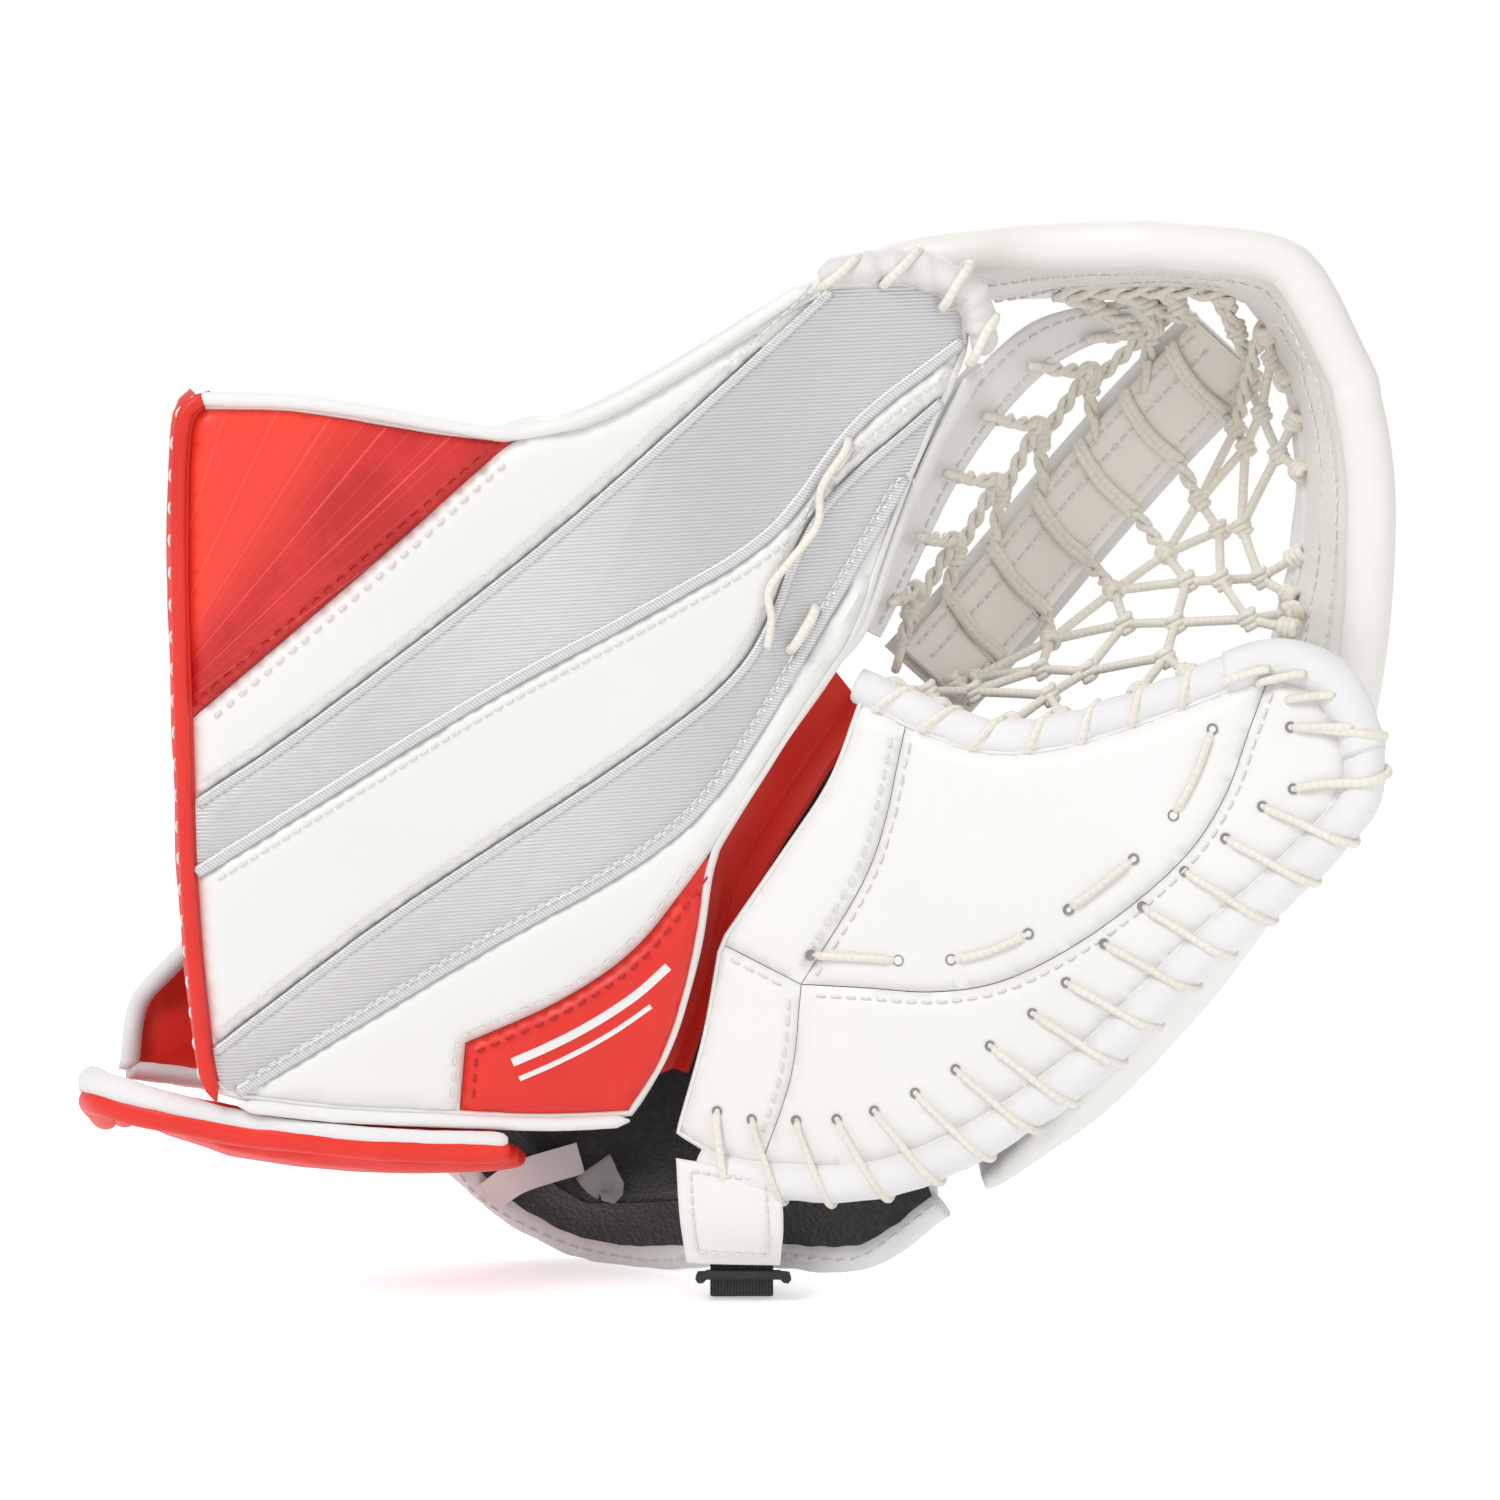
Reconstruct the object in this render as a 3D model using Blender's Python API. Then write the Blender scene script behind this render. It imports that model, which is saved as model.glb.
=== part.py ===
"""Goalie catch glove, worn on the left hand and seen on its palm side.

X runs to the right, Y runs from the palm side to the back of the hand, Z is up.
The origin is on the floor the glove rests on, under the middle of its bounding box.
Lengths are in millimetres from a datum under the wrist. Meshes are made in metres, and
the pivots of the bodies put them in place around the origin.
"""

import math

import bmesh
import bpy
from mathutils import Vector
from mathutils.geometry import delaunay_2d_cdt

MM = 0.001

# Driving dimensions of the shell of the glove
GAP = 0.3
SEAM = 0.15
SKIN = 1.2
CUFF_THICKNESS = 23.0
PALM_THICKNESS = 11.0
THUMB_PLANE_Y = 8.0
THUMB_SLOPE = 0.22
PALM_PLANE_Y = 14.0
PALM_SLOPE = 0.30
PALM_CURVE = 0.0007
PIPING_RADIUS = 1.7
PALM_CELL = 24.0

# Perimeter band of the pocket
BAND_THICKNESS = 13.0
BAND_COVER = 1.6
BAND_FOAM_CLEAR = 2.6
BAND_FOAM_END = 0.012
FOLD_GAP_FRONT = 34.0
FOLD_GAP_BACK = 9.0
CORNER_FRONT = 14.0
CORNER_BACK = 8.0

# Pocket
STEM_WIDTH = 27.0
STEM_THICKNESS = 6.0
LACE_RADIUS = 1.6
EDGE_ROLL_RADIUS = 4.6
POCKET_ROLL_RADIUS = 5.5

# Closing fold: the line from the heel of the palm to the back of the top right corner
HEEL = (-30.0, 58.0)
CROTCH = (34.0, 202.0)
FOLD_START = Vector((-25.0, 10.0, 52.0))
FOLD_END = Vector((150.0, 70.0, 302.0))

# Middle of the glove's plan, measured from the datum
MIDDLE = Vector((-7.73, 22.497, 0.0))

# Where each moving body turns
BODY_ORIGINS = {
    "palm": (0.0, 0.0, 0.0),
    "pocket": tuple(FOLD_END),
    "thumb": tuple(FOLD_START),
    "backhand": (62.0, 72.0, 100.0),
    "wrist_tab": (-7.0, 5.0, 46.0),
    "tab_loop": (-2.0, 4.5, 9.0),
    "elastic": (-2.0, 8.5, 3.0),
    "cuff_wrap": (-100.0, -6.0, 54.0),
}


# ---------------------------------------------------------------- curves and surfaces

def spline(points, steps=4):
    """Smooth curve through the points, with the given number of steps in each span."""
    if len(points) < 3:
        return [tuple(p) for p in points]
    knots = [Vector(p) for p in points]
    knots = [2 * knots[0] - knots[1]] + knots + [2 * knots[-1] - knots[-2]]
    curve = []
    for i in range(1, len(knots) - 2):
        a, b, c, d = knots[i - 1:i + 3]
        for k in range(steps):
            t = k / steps
            curve.append(0.5 * (2 * b + (c - a) * t + (2 * a - 5 * b + 4 * c - d) * t ** 2
                                + (3 * b - a - 3 * c + d) * t ** 3))
    curve.append(knots[-2])
    return [tuple(p) for p in curve]


def closed_outline(*stretches, steps=3):
    """One closed outline from smooth stretches that meet at corners."""
    outline = []
    for stretch in stretches:
        outline += spline(stretch, steps)[:-1]
    return outline


def along(points, t):
    """Point at the fraction t of a curve's length."""
    steps = [Vector(b) - Vector(a) for a, b in zip(points, points[1:])]
    wanted = max(0.0, min(1.0, t)) * sum(step.length for step in steps)
    for start, step in zip(points, steps):
        if wanted <= step.length or step is steps[-1]:
            return Vector(start) + step * min(1.0, wanted / step.length)
        wanted -= step.length
    return Vector(points[-1])


def lofted(rows):
    """Surface through smooth rows of points: u runs along a row, v runs across the rows."""
    curves = [spline(row, 6) for row in rows]

    def surface(u, v):
        across = spline([along(curve, u) for curve in curves], 6)
        position = max(0.0, min(1.0, v)) * (len(across) - 1)
        i = min(int(position), len(across) - 2)
        return Vector(across[i]).lerp(Vector(across[i + 1]), position - i)

    return surface


def signed_area(outline):
    pairs = zip(outline, outline[1:] + outline[:1])
    return 0.5 * sum(a[0] * b[1] - b[0] * a[1] for a, b in pairs)


def shrunk(outline, distance):
    """Outline moved inwards by a distance."""
    side = 1.0 if signed_area(outline) > 0 else -1.0
    count = len(outline)
    moved = []
    for i, point in enumerate(outline):
        before = Vector(outline[i - 1])
        after = Vector(outline[(i + 1) % count])
        here = Vector(point)
        first = (here - before).normalized()
        second = (after - here).normalized()
        normal_1 = Vector((-first.y, first.x)) * side
        normal_2 = Vector((-second.y, second.x)) * side
        middle = (normal_1 + normal_2).normalized()
        reach = distance / max(0.4, middle.dot(normal_1))
        moved.append(tuple(here + middle * reach))
    return moved


def inside(point, outline):
    """Whether a point is inside an outline."""
    x, z = point
    found = False
    for (x1, z1), (x2, z2) in zip(outline, outline[1:] + outline[:1]):
        if (z1 > z) != (z2 > z) and x < (x2 - x1) * (z - z1) / (z2 - z1) + x1:
            found = not found
    return found


def distance_to(point, outline):
    """Shortest distance from a point to an outline's corners and mid-edges."""
    here = Vector(point)
    nearest = 1e9
    for a, b in zip(outline, outline[1:] + outline[:1]):
        edge = Vector(b) - Vector(a)
        t = max(0.0, min(1.0, (here - Vector(a)).dot(edge) / edge.length_squared))
        nearest = min(nearest, (here - Vector(a) - edge * t).length)
    return nearest


def filled(outline, cell):
    """Triangles that fill an outline, on a lattice of the given cell (0 for none)."""
    points = [Vector(p) for p in outline]
    if cell:
        reach = int(400 / cell)
        for i in range(-reach, reach):
            for k in range(reach):
                spot = (i * cell, k * cell)
                if inside(spot, outline) and distance_to(spot, outline) > 0.35 * cell:
                    points.append(Vector(spot))
    border = list(range(len(outline)))
    if signed_area(outline) < 0:
        border.reverse()
    result = delaunay_2d_cdt(points, [], [border], 1, 1e-5)
    return [tuple(v) for v in result[0]], [list(f) for f in result[2]]


# ---------------------------------------------------------------- depth of the two leaves

def left_of_fold(x, z):
    """Distance to the left of the line from the heel to the crotch."""
    run = Vector((CROTCH[0] - HEEL[0], CROTCH[1] - HEEL[1])).normalized()
    return -((x - HEEL[0]) * run.y - (z - HEEL[1]) * run.x)


def thumb_depth(x, z):
    """Front surface of the cuff and thumb, a flat board that rises towards the left."""
    return THUMB_PLANE_Y - THUMB_SLOPE * left_of_fold(x, z)


def palm_depth(x, z):
    """Front surface of the palm, which cups towards the finger edge."""
    right = max(0.0, -left_of_fold(x, z))
    return PALM_PLANE_Y - PALM_SLOPE * right - PALM_CURVE * right ** 2


def on_leaf(depth, x, z, offset=0.0):
    """Point on a leaf's surface, moved to the back by the offset."""
    step = 0.5
    slope_x = (depth(x + step, z) - depth(x - step, z)) / (2 * step)
    slope_z = (depth(x, z + step) - depth(x, z - step)) / (2 * step)
    normal = Vector((-slope_x, 1.0, -slope_z)).normalized()
    return Vector((x, depth(x, z), z)) + normal * offset


# ---------------------------------------------------------------- bodies, materials, meshes

def clear_scene():
    for obj in list(bpy.data.objects):
        bpy.data.objects.remove(obj, do_unlink=True)


def make_bodies():
    """One empty for each moving body, on the axis that the body turns about."""
    for body, origin in BODY_ORIGINS.items():
        empty = bpy.data.objects.new(body + "_pivot", None)
        empty.location = (Vector(origin) - MIDDLE) * MM
        bpy.context.collection.objects.link(empty)


def principled(name, colour, roughness, metallic=0.0):
    found = bpy.data.materials.get(name)
    if found:
        return found
    made = bpy.data.materials.new(name)
    made.use_nodes = True
    made.diffuse_color = (*colour, 1.0)
    shader = made.node_tree.nodes["Principled BSDF"]
    shader.inputs["Base Color"].default_value = (*colour, 1.0)
    shader.inputs["Roughness"].default_value = roughness
    shader.inputs["Metallic"].default_value = metallic
    return made


def white_leather():
    return principled("white_leather", (0.86, 0.86, 0.84), 0.42)


def red_leather():
    return principled("red_leather", (0.72, 0.03, 0.03), 0.40)


def silver_weave():
    return principled("silver_weave", (0.60, 0.61, 0.63), 0.35, 0.4)


def white_nylon():
    return principled("white_nylon", (0.84, 0.84, 0.85), 0.65)


def cream_lace():
    return principled("cream_lace", (0.84, 0.83, 0.76), 0.55)


def black_lining():
    return principled("black_lining", (0.02, 0.02, 0.022), 0.9)


def foam():
    return principled("foam", (0.25, 0.25, 0.27), 0.95)


def stiff_plastic():
    return principled("stiff_plastic", (0.80, 0.80, 0.78), 0.45)


def black_plastic():
    return principled("black_plastic", (0.02, 0.02, 0.02), 0.35)


def mesh_object(name, body, material, bm):
    """Turn a closed bmesh into an object that hangs on its body's pivot."""
    bmesh.ops.triangulate(bm, faces=bm.faces[:])
    bmesh.ops.recalc_face_normals(bm, faces=bm.faces[:])
    if bm.calc_volume(signed=True) < 0:
        bmesh.ops.reverse_faces(bm, faces=bm.faces[:])
    mesh = bpy.data.meshes.new(name)
    bm.to_mesh(mesh)
    bm.free()
    mesh.materials.append(material)
    mesh.shade_smooth()
    mesh.set_sharp_from_angle(angle=math.radians(40))
    obj = bpy.data.objects.new(name, mesh)
    bpy.context.collection.objects.link(obj)
    obj.parent = bpy.data.objects[body + "_pivot"]
    return obj


def add_solid(name, body, material, points, faces):
    """Make a closed mesh from points in millimetres and hang it on its body."""
    origin = Vector(BODY_ORIGINS[body])
    bm = bmesh.new()
    verts = [bm.verts.new((Vector(p) - origin) * MM) for p in points]
    for face in faces:
        bm.faces.new([verts[i] for i in face])
    return mesh_object(name, body, material, bm)


def leaf_solid(name, body, material, outline, depth, front, back, cell=0.0):
    """A slab that follows a leaf's surface, between two depths behind it."""
    flat, triangles = filled(outline, cell)
    count = len(flat)
    points = [on_leaf(depth, x, z, front) for x, z in flat]
    points += [on_leaf(depth, x, z, back) for x, z in flat]
    faces = [tri for tri in triangles]
    faces += [[i + count for i in reversed(tri)] for tri in triangles]
    directed = {(a, b) for tri in triangles for a, b in zip(tri, tri[1:] + tri[:1])}
    for a, b in sorted(directed):
        if (b, a) not in directed:
            faces.append([b, a, a + count, b + count])
    return add_solid(name, body, material, points, faces)


def patch_solid(name, body, material, surface, nu, nv, low, high):
    """A slab between two offsets of a surface(u, v)."""
    points = []
    for offset in (low, high):
        for i in range(nu + 1):
            for k in range(nv + 1):
                u, v = i / nu, k / nv
                points.append(surface_point(surface, u, v, offset))
    faces = grid_faces(nu, nv, 0, False)
    layer = (nu + 1) * (nv + 1)
    faces += grid_faces(nu, nv, layer, True)
    rim = grid_rim(nu, nv)
    for a, b in zip(rim, rim[1:] + rim[:1]):
        faces.append([a, b, b + layer, a + layer])
    return add_solid(name, body, material, points, faces)


def grid_rim(nu, nv):
    """Indices around the edge of a grid of points."""
    rim = [i * (nv + 1) for i in range(nu + 1)]
    rim += [nu * (nv + 1) + k for k in range(1, nv + 1)]
    rim += [i * (nv + 1) + nv for i in range(nu - 1, -1, -1)]
    return rim + list(range(nv - 1, 0, -1))


def surface_point(surface, u, v, offset):
    """Point at an offset along the normal of a surface(u, v)."""
    step = 0.02
    du = surface(min(1.0, u + step), v) - surface(max(0.0, u - step), v)
    dv = surface(u, min(1.0, v + step)) - surface(u, max(0.0, v - step))
    normal = du.cross(dv).normalized()
    return surface(u, v) + normal * offset


def grid_faces(nu, nv, start, flip):
    faces = []
    for i in range(nu):
        for k in range(nv):
            a = start + i * (nv + 1) + k
            quad = [a, a + 1, a + nv + 2, a + nv + 1]
            faces.append(quad[::-1] if flip else quad)
    return faces


def ring_frames(path, closed):
    """A turning frame at each point of a path, without twist."""
    count = len(path)
    tangents = []
    for i in range(count):
        before = path[i - 1] if closed or i > 0 else path[0]
        after = path[(i + 1) % count] if closed or i < count - 1 else path[-1]
        tangents.append((Vector(after) - Vector(before)).normalized())
    helper = Vector((0, 1, 0)) if abs(tangents[0].y) < 0.9 else Vector((1, 0, 0))
    side = tangents[0].cross(helper).normalized()
    frames = []
    for tangent in tangents:
        side = (side - tangent * side.dot(tangent)).normalized()
        frames.append((side, tangent.cross(side)))
    return frames


def tube(name, body, material, path, radius, sides=6, closed=False, floor=None):
    """A round cord along a path, with closed ends or joined into a ring."""
    points = []
    for centre, (side, other) in zip(path, ring_frames(path, closed)):
        for k in range(sides):
            angle = 2 * math.pi * (k + 0.5) / sides
            spot = Vector(centre) + (side * math.cos(angle) + other * math.sin(angle)) * radius
            if floor is not None:
                spot.z = max(spot.z, floor)
            points.append(spot)
    faces = []
    rings = len(path)
    for i in range(rings if closed else rings - 1):
        low, high = i * sides, ((i + 1) % rings) * sides
        for k in range(sides):
            n = (k + 1) % sides
            faces.append([low + k, low + n, high + n, high + k])
    if not closed:
        faces.append(list(range(sides)))
        faces.append([(rings - 1) * sides + k for k in range(sides)])
    return add_solid(name, body, material, points, faces)


def sock(name, body, material, start, end, mouth, tip, wall, sides=8):
    """A finger stall: an open sleeve that tapers to a rounded, closed end."""
    start, end = Vector(start), Vector(end)
    (side, other) = ring_frames([start, end], False)[0]
    length = (end - start).length
    profile = [(0.0, 1.0), (0.5, 0.94), (0.84, 0.88), (0.96, 0.6)]
    points = []
    for inset, order in ((0.0, profile), (wall, profile[::-1])):
        for t, scale in order:
            radius = (mouth + (tip - mouth) * t) * scale - inset
            reach = t * (length - inset)
            centre = start + (end - start).normalized() * reach
            for k in range(sides):
                angle = 2 * math.pi * k / sides
                turned = side * math.cos(angle) + other * math.sin(angle)
                points.append(centre + turned * radius)
    faces = []
    rings = 2 * len(profile)
    for i in range(rings):
        if i == len(profile) - 1:
            continue
        low, high = i * sides, ((i + 1) % rings) * sides
        for k in range(sides):
            n = (k + 1) % sides
            faces.append([low + k, low + n, high + n, high + k])
    outer_tip = (len(profile) - 1) * sides
    faces.append([outer_tip + k for k in range(sides)])
    faces.append([outer_tip + sides + k for k in range(sides)])
    return add_solid(name, body, material, points, faces)


# ---------------------------------------------------------------- cuff and thumb board

LEFT_TOP = [(-160, 180), (-160, 222), (-158, 262), (-154, 269)]
LEFT_WHITE = [(-160, 134), (-159, 108), (-157, 82)]
LEFT_BOTTOM = [(-157, 82), (-155, 71), (-150, 68)]
TOP_RED = [(-154, 269), (-128, 268), (-92, 262), (-68, 259)]
TOP_WHITE = [(-68, 259), (-43, 265), (-14, 281), (23, 303)]
THUMB_TIP = [(23, 303), (44, 304), (60, 298), (63, 287)]
THUMB_SIDE = [(63, 287), (60, 279), (56, 271)]
CROTCH_TOP = [(56, 271), (51, 259), (46, 247)]
CROTCH_SIDE = [(46, 247), (37, 221), (30, 201), (9, 169), (-12, 136)]
HEEL_SIDE = [(-12, 136), (-17, 104), (-25, 77), (-36, 58)]
HEEL_BOTTOM = [(-36, 58), (-60, 58), (-86, 60)]
CUFF_BOTTOM = [(-86, 60), (-120, 63), (-150, 68)]
RED_EDGE = [(-160, 180), (-114, 219), (-68, 259)]
SILVER_1_TOP = [(-160, 156), (-130, 176), (-78, 215), (-38, 248), (23, 303)]
SILVER_1_LOW = [(-160, 134), (-79, 183), (-32, 208), (6, 231), (32, 263), (63, 287)]
SILVER_2_TOP = [(-157, 82), (-103, 122), (-32, 168), (0, 196), (20, 238), (56, 271)]
SILVER_2_LOW = [(-150, 68), (-80, 109), (-33, 135), (-7, 159), (24, 209), (46, 247)]
HEEL_RED_TOP = [(-84, 81), (-56, 93), (-33, 109), (-12, 136)]
HEEL_RED_LEFT = [(-86, 60), (-84, 81)]


def back(stretch):
    return stretch[::-1]


def board_outline():
    """Edge of the whole cuff and thumb board, clockwise from the left edge."""
    left_middle = [(-157, 82), (-160, 134), (-160, 156), (-160, 180)]
    return closed_outline(left_middle, LEFT_TOP, TOP_RED, TOP_WHITE, THUMB_TIP, THUMB_SIDE,
                          CROTCH_TOP, CROTCH_SIDE, HEEL_SIDE, HEEL_BOTTOM, CUFF_BOTTOM,
                          back(LEFT_BOTTOM))


def board_panel(name, material, *stretches):
    outline = shrunk(closed_outline(*stretches), SEAM)
    return leaf_solid(name, "thumb", material, outline, thumb_depth, 0.0, SKIN)


def build_board_skins():
    """The sewn panels on the front of the cuff and thumb."""
    board_panel("cuff_corner_panel", red_leather(), RED_EDGE, back(TOP_RED), back(LEFT_TOP))
    board_panel("upper_white_panel", white_leather(), SILVER_1_TOP, back(TOP_WHITE),
                back(RED_EDGE), [(-160, 180), (-160, 156)])
    board_panel("upper_silver_panel", silver_weave(), SILVER_1_LOW, back(THUMB_TIP),
                back(SILVER_1_TOP), [(-160, 156), (-160, 134)])
    board_panel("middle_white_panel", white_leather(), SILVER_2_TOP, back(THUMB_SIDE),
                back(SILVER_1_LOW), LEFT_WHITE)
    board_panel("lower_silver_panel", silver_weave(), SILVER_2_LOW, back(CROTCH_TOP),
                back(SILVER_2_TOP), LEFT_BOTTOM)
    board_panel("lower_white_panel", white_leather(), back(CUFF_BOTTOM), HEEL_RED_LEFT,
                HEEL_RED_TOP, back(CROTCH_SIDE), back(SILVER_2_LOW))
    board_panel("heel_red_panel", red_leather(), back(HEEL_BOTTOM), back(HEEL_SIDE),
                back(HEEL_RED_TOP), back(HEEL_RED_LEFT))


def build_board_core():
    """Foam, stiffener and lining behind the panels, from front to back."""
    layers = [("board_outer_foam", foam(), 7.5), ("board_stiffener", stiff_plastic(), 2.0),
              ("board_inner_foam", foam(), 8.0), ("board_lining", black_lining(), 1.4)]
    outline = shrunk(board_outline(), 4.0)
    depth = SKIN + GAP
    for name, material, thickness in layers:
        leaf_solid(name, "thumb", material, outline, thumb_depth, depth, depth + thickness)
        depth += thickness + GAP


def edge_wall(name, material, stretch, flare, inset, body="thumb"):
    """A wall that closes the board's side, from its front edge to its back."""
    edge = spline(stretch, 4)
    centre = Vector((-40.0, 170.0))

    def surface(u, v):
        spot = along(edge, u)
        outward = (spot - centre).normalized()
        spot = spot - outward * inset + outward * flare * v
        return on_leaf(thumb_depth, spot.x, spot.y, SKIN + GAP + (CUFF_THICKNESS - 4.0) * v)

    return patch_solid(name, body, material, surface, 2 * len(stretch), 1, -0.55, 0.55)


def build_board_edges():
    """Side walls and piping around the cuff and thumb board."""
    left = [(-153, 74), (-155, 108), (-158, 180), (-157, 240), (-154, 264)]
    top = [(-149, 267), (-92, 260.5), (-66, 257.5), (-43, 263.5), (-14, 279.5), (18, 299)]
    edge_wall("cuff_end_wall", red_leather(), left, 7.0, -1.0)
    edge_wall("board_top_wall", white_leather(), top, 1.0, -0.6)
    board_piping("cuff_end_piping", red_leather(), [(-155, 71), (-157, 82), (-160, 134),
                                                    (-160, 222), (-158, 262), (-154, 269)])
    board_piping("board_top_piping", white_leather(), TOP_RED + TOP_WHITE[1:-1] + [(16, 300)])
    board_piping("board_bottom_piping", white_leather(), [(-40, 58), (-60, 58), (-86, 60),
                                                          (-120, 63), (-146, 67)])


def board_piping(name, material, stretch):
    path = beside(stretch, PIPING_RADIUS + 3 * GAP, thumb_depth)
    return tube(name, "thumb", material, path, PIPING_RADIUS, 6)


def build_thumb():
    """Thumb stall, the pad behind it, the tip's binding and the strap over the thumb."""
    sock("thumb_stall", "thumb", black_lining(), (-22, 40, 205), (30, 42, 282), 13.0, 11.0, 1.5)
    rows = [[(-56, 30, 256), (-22, 33, 275), (8, 34, 294)],
            [(-54, 56, 244), (-16, 60, 264), (18, 60, 284)],
            [(-38, 64, 204), (-2, 66, 228), (26, 62, 252)]]
    patch_solid("thumb_back_pad", "thumb", white_leather(), lofted(rows), 6, 5, -5.0, 5.0)
    tip = [(20, 2.5, 306.5), (34, 2, 309.5), (48, 3, 309), (61, 5, 304), (68, 7, 294), (67.5, 8, 284)]
    tube("thumb_tip_binding", "thumb", white_nylon(), spline(tip, 3), 3.6, 8)
    front = [(63, 10.5, 277), (50, 10, 250), (41, 10, 226), (34.5, 9.5, 207), (27, 10, 194)]
    middle = [(70, 33, 281), (54, 31, 253), (42, 29, 227), (32, 25, 206), (25, 22, 194)]
    rear = [(67, 54, 281), (50, 50, 257), (37, 45, 231), (27, 37, 208), (21, 32, 194)]
    patch_solid("thumb_side_wall", "thumb", white_leather(), lofted([front, middle, rear]),
                8, 3, -1.0, 1.0)
    outer = [(118, 59, 301), (90, 58, 296), (69, 56.5, 279), (52, 52.5, 254.5), (39, 47.5, 227.5),
             (29, 39.5, 203.5)]
    patch_solid("thumb_skirt", "thumb", white_leather(), lofted([outer, SKIRT_INNER]), 9, 1,
                -1.2, 1.2)


# ---------------------------------------------------------------- perimeter band

BAND_PATH = [(14, 34, 300), (27, 34, 311), (44, 32, 319), (68, 24, 322), (86, 4, 323),
             (110, -9, 323), (138, -12, 321), (155, -14, 317), (168, -16, 307),
             (179, -18, 282), (186, -20, 251), (187, -20, 225), (185, -16, 185),
             (180, -9, 157)]
BAND_LEAN = [(0.0, 10.0), (0.31, 9.0), (0.50, 4.0), (0.63, 3.0), (0.79, 8.0), (1.0, 21.0)]
BAND_BACK_Y = [(0.0, 58.0), (0.52, 66.0), (0.79, 55.0), (1.0, 47.0)]
CORNER_PLACE = 0.497


def graded(table, t):
    """Value at t from a short table of (t, value) pairs."""
    for (t0, a), (t1, b) in zip(table, table[1:]):
        if t <= t1:
            return a + (b - a) * (t - t0) / (t1 - t0)
    return table[-1][1]


def band_frame(t, v):
    """Point on the band's outer face and the direction through its thickness."""
    path = spline(BAND_PATH, 4)
    spot = along(path, t)
    ahead = along(path, min(1.0, t + 0.01)) - along(path, max(0.0, t - 0.01))
    ahead.y = 0.0
    ahead.normalize()
    inward = Vector((-ahead.z, 0.0, ahead.x)) * -1.0
    lean = inward * graded(BAND_LEAN, t) * v
    deep = (graded(BAND_BACK_Y, t) - spot.y) * v
    return spot + lean + Vector((0.0, deep, 0.0)), inward


def band_length():
    path = spline(BAND_PATH, 4)
    return sum((Vector(b) - Vector(a)).length for a, b in zip(path, path[1:]))


def band_piece(name, body, material, ends_front, ends_back, section, count):
    """A stretch of the band: each section point is (depth fraction, distance inwards)."""
    points = []
    for i in range(count + 1):
        for v, inwards in section:
            first = ends_front[0] + (ends_back[0] - ends_front[0]) * v
            last = ends_front[1] + (ends_back[1] - ends_front[1]) * v
            spot, inward = band_frame(first + (last - first) * i / count, v)
            points.append(spot + inward * inwards)
    faces = []
    size = len(section)
    for i in range(count):
        for k in range(size):
            n = (k + 1) % size
            faces.append([i * size + k, i * size + n, (i + 1) * size + n, (i + 1) * size + k])
    faces.append(list(range(size)))
    faces.append([count * size + k for k in range(size)])
    return add_solid(name, body, material, points, faces)


def cover_section():
    """Channel section of the cover: outer face, rounded front and inner face."""
    t = BAND_THICKNESS
    w = BAND_COVER
    return [(1.0, 0.0), (0.04, 0.0), (0.0, 0.3 * t), (0.0, 0.7 * t), (0.04, t), (1.0, t),
            (1.0, t - w), (0.06, t - w), (0.06, w), (1.0, w)]


def foam_section():
    inset = BAND_COVER + BAND_FOAM_CLEAR
    t = BAND_THICKNESS
    return [(0.97, inset), (0.12, inset), (0.12, t - inset), (0.97, t - inset)]


def build_band():
    """The padded band around the pocket, in three stretches that fold at the corner."""
    length = band_length()
    middle = CORNER_PLACE
    front = CORNER_FRONT / length / 2
    rear = CORNER_BACK / length / 2
    gap_front = FOLD_GAP_FRONT / length
    gap_back = FOLD_GAP_BACK / length
    stretches = [
        ("band_top", "thumb", (0.05, middle - front - gap_front),
         (0.12, middle - rear - gap_back), 9),
        ("band_corner", "pocket", (middle - front, middle + front),
         (middle - rear, middle + rear), 2),
        ("band_side", "palm", (middle + front + gap_front, 0.985),
         (middle + rear + gap_back, 0.985), 9)]
    for name, body, ends_front, ends_back, count in stretches:
        band_piece(name + "_cover", body, white_leather(), ends_front, ends_back,
                   cover_section(), count)
        short = [(ends[0] + BAND_FOAM_END, ends[1] - BAND_FOAM_END)
                 for ends in (ends_front, ends_back)]
        band_piece(name + "_foam", body, foam(), *short, foam_section(), count)


# ---------------------------------------------------------------- pocket

STEM_AXIS = [(148, 70, 286), (126, 82, 262), (103, 88, 235), (79, 82, 207), (56, 62, 184)]
STEM_ACROSS = Vector((-0.74, 0.0, 0.67))
SKIRT_INNER = [(124, 63, 294), (98, 62, 284), (80, 60.5, 268), (63, 56.5, 244.5),
               (50, 51, 218), (39.5, 43, 198)]
POCKET_RIM = [(161, 58, 266), (156, 50, 228), (141, 38, 200), (114, 26, 184), (86, 24, 174)]


def stem_surface(u, v):
    spot = along(spline(STEM_AXIS, 5), u)
    return spot + STEM_ACROSS * STEM_WIDTH * (0.5 - v)


def build_stem():
    """The strap that runs down the middle of the pocket, with a stiff strip inside."""
    half = STEM_THICKNESS / 2
    patch_solid("stem_strap_back", "pocket", white_leather(), stem_surface, 8, 1, -half, -1.2)
    patch_solid("stem_strap_front", "pocket", white_leather(), stem_surface, 8, 1, 1.2, half)
    patch_solid("stem_stiffener", "pocket", stiff_plastic(), stem_surface, 8, 1, -0.9, 0.9)


def net_row(edge_a, edge_b, t, bulge):
    """A row of the net between two edges, pushed back by a bulge."""
    row = []
    for i in range(6):
        a, b = along(edge_a, i / 5), along(edge_b, i / 5)
        push = 4 * t * (1 - t) * bulge * math.sin(math.pi * (0.1 + 0.8 * i / 5))
        row.append(tuple(a.lerp(b, t) + Vector((0.0, push, 0.0))))
    return row


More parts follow.
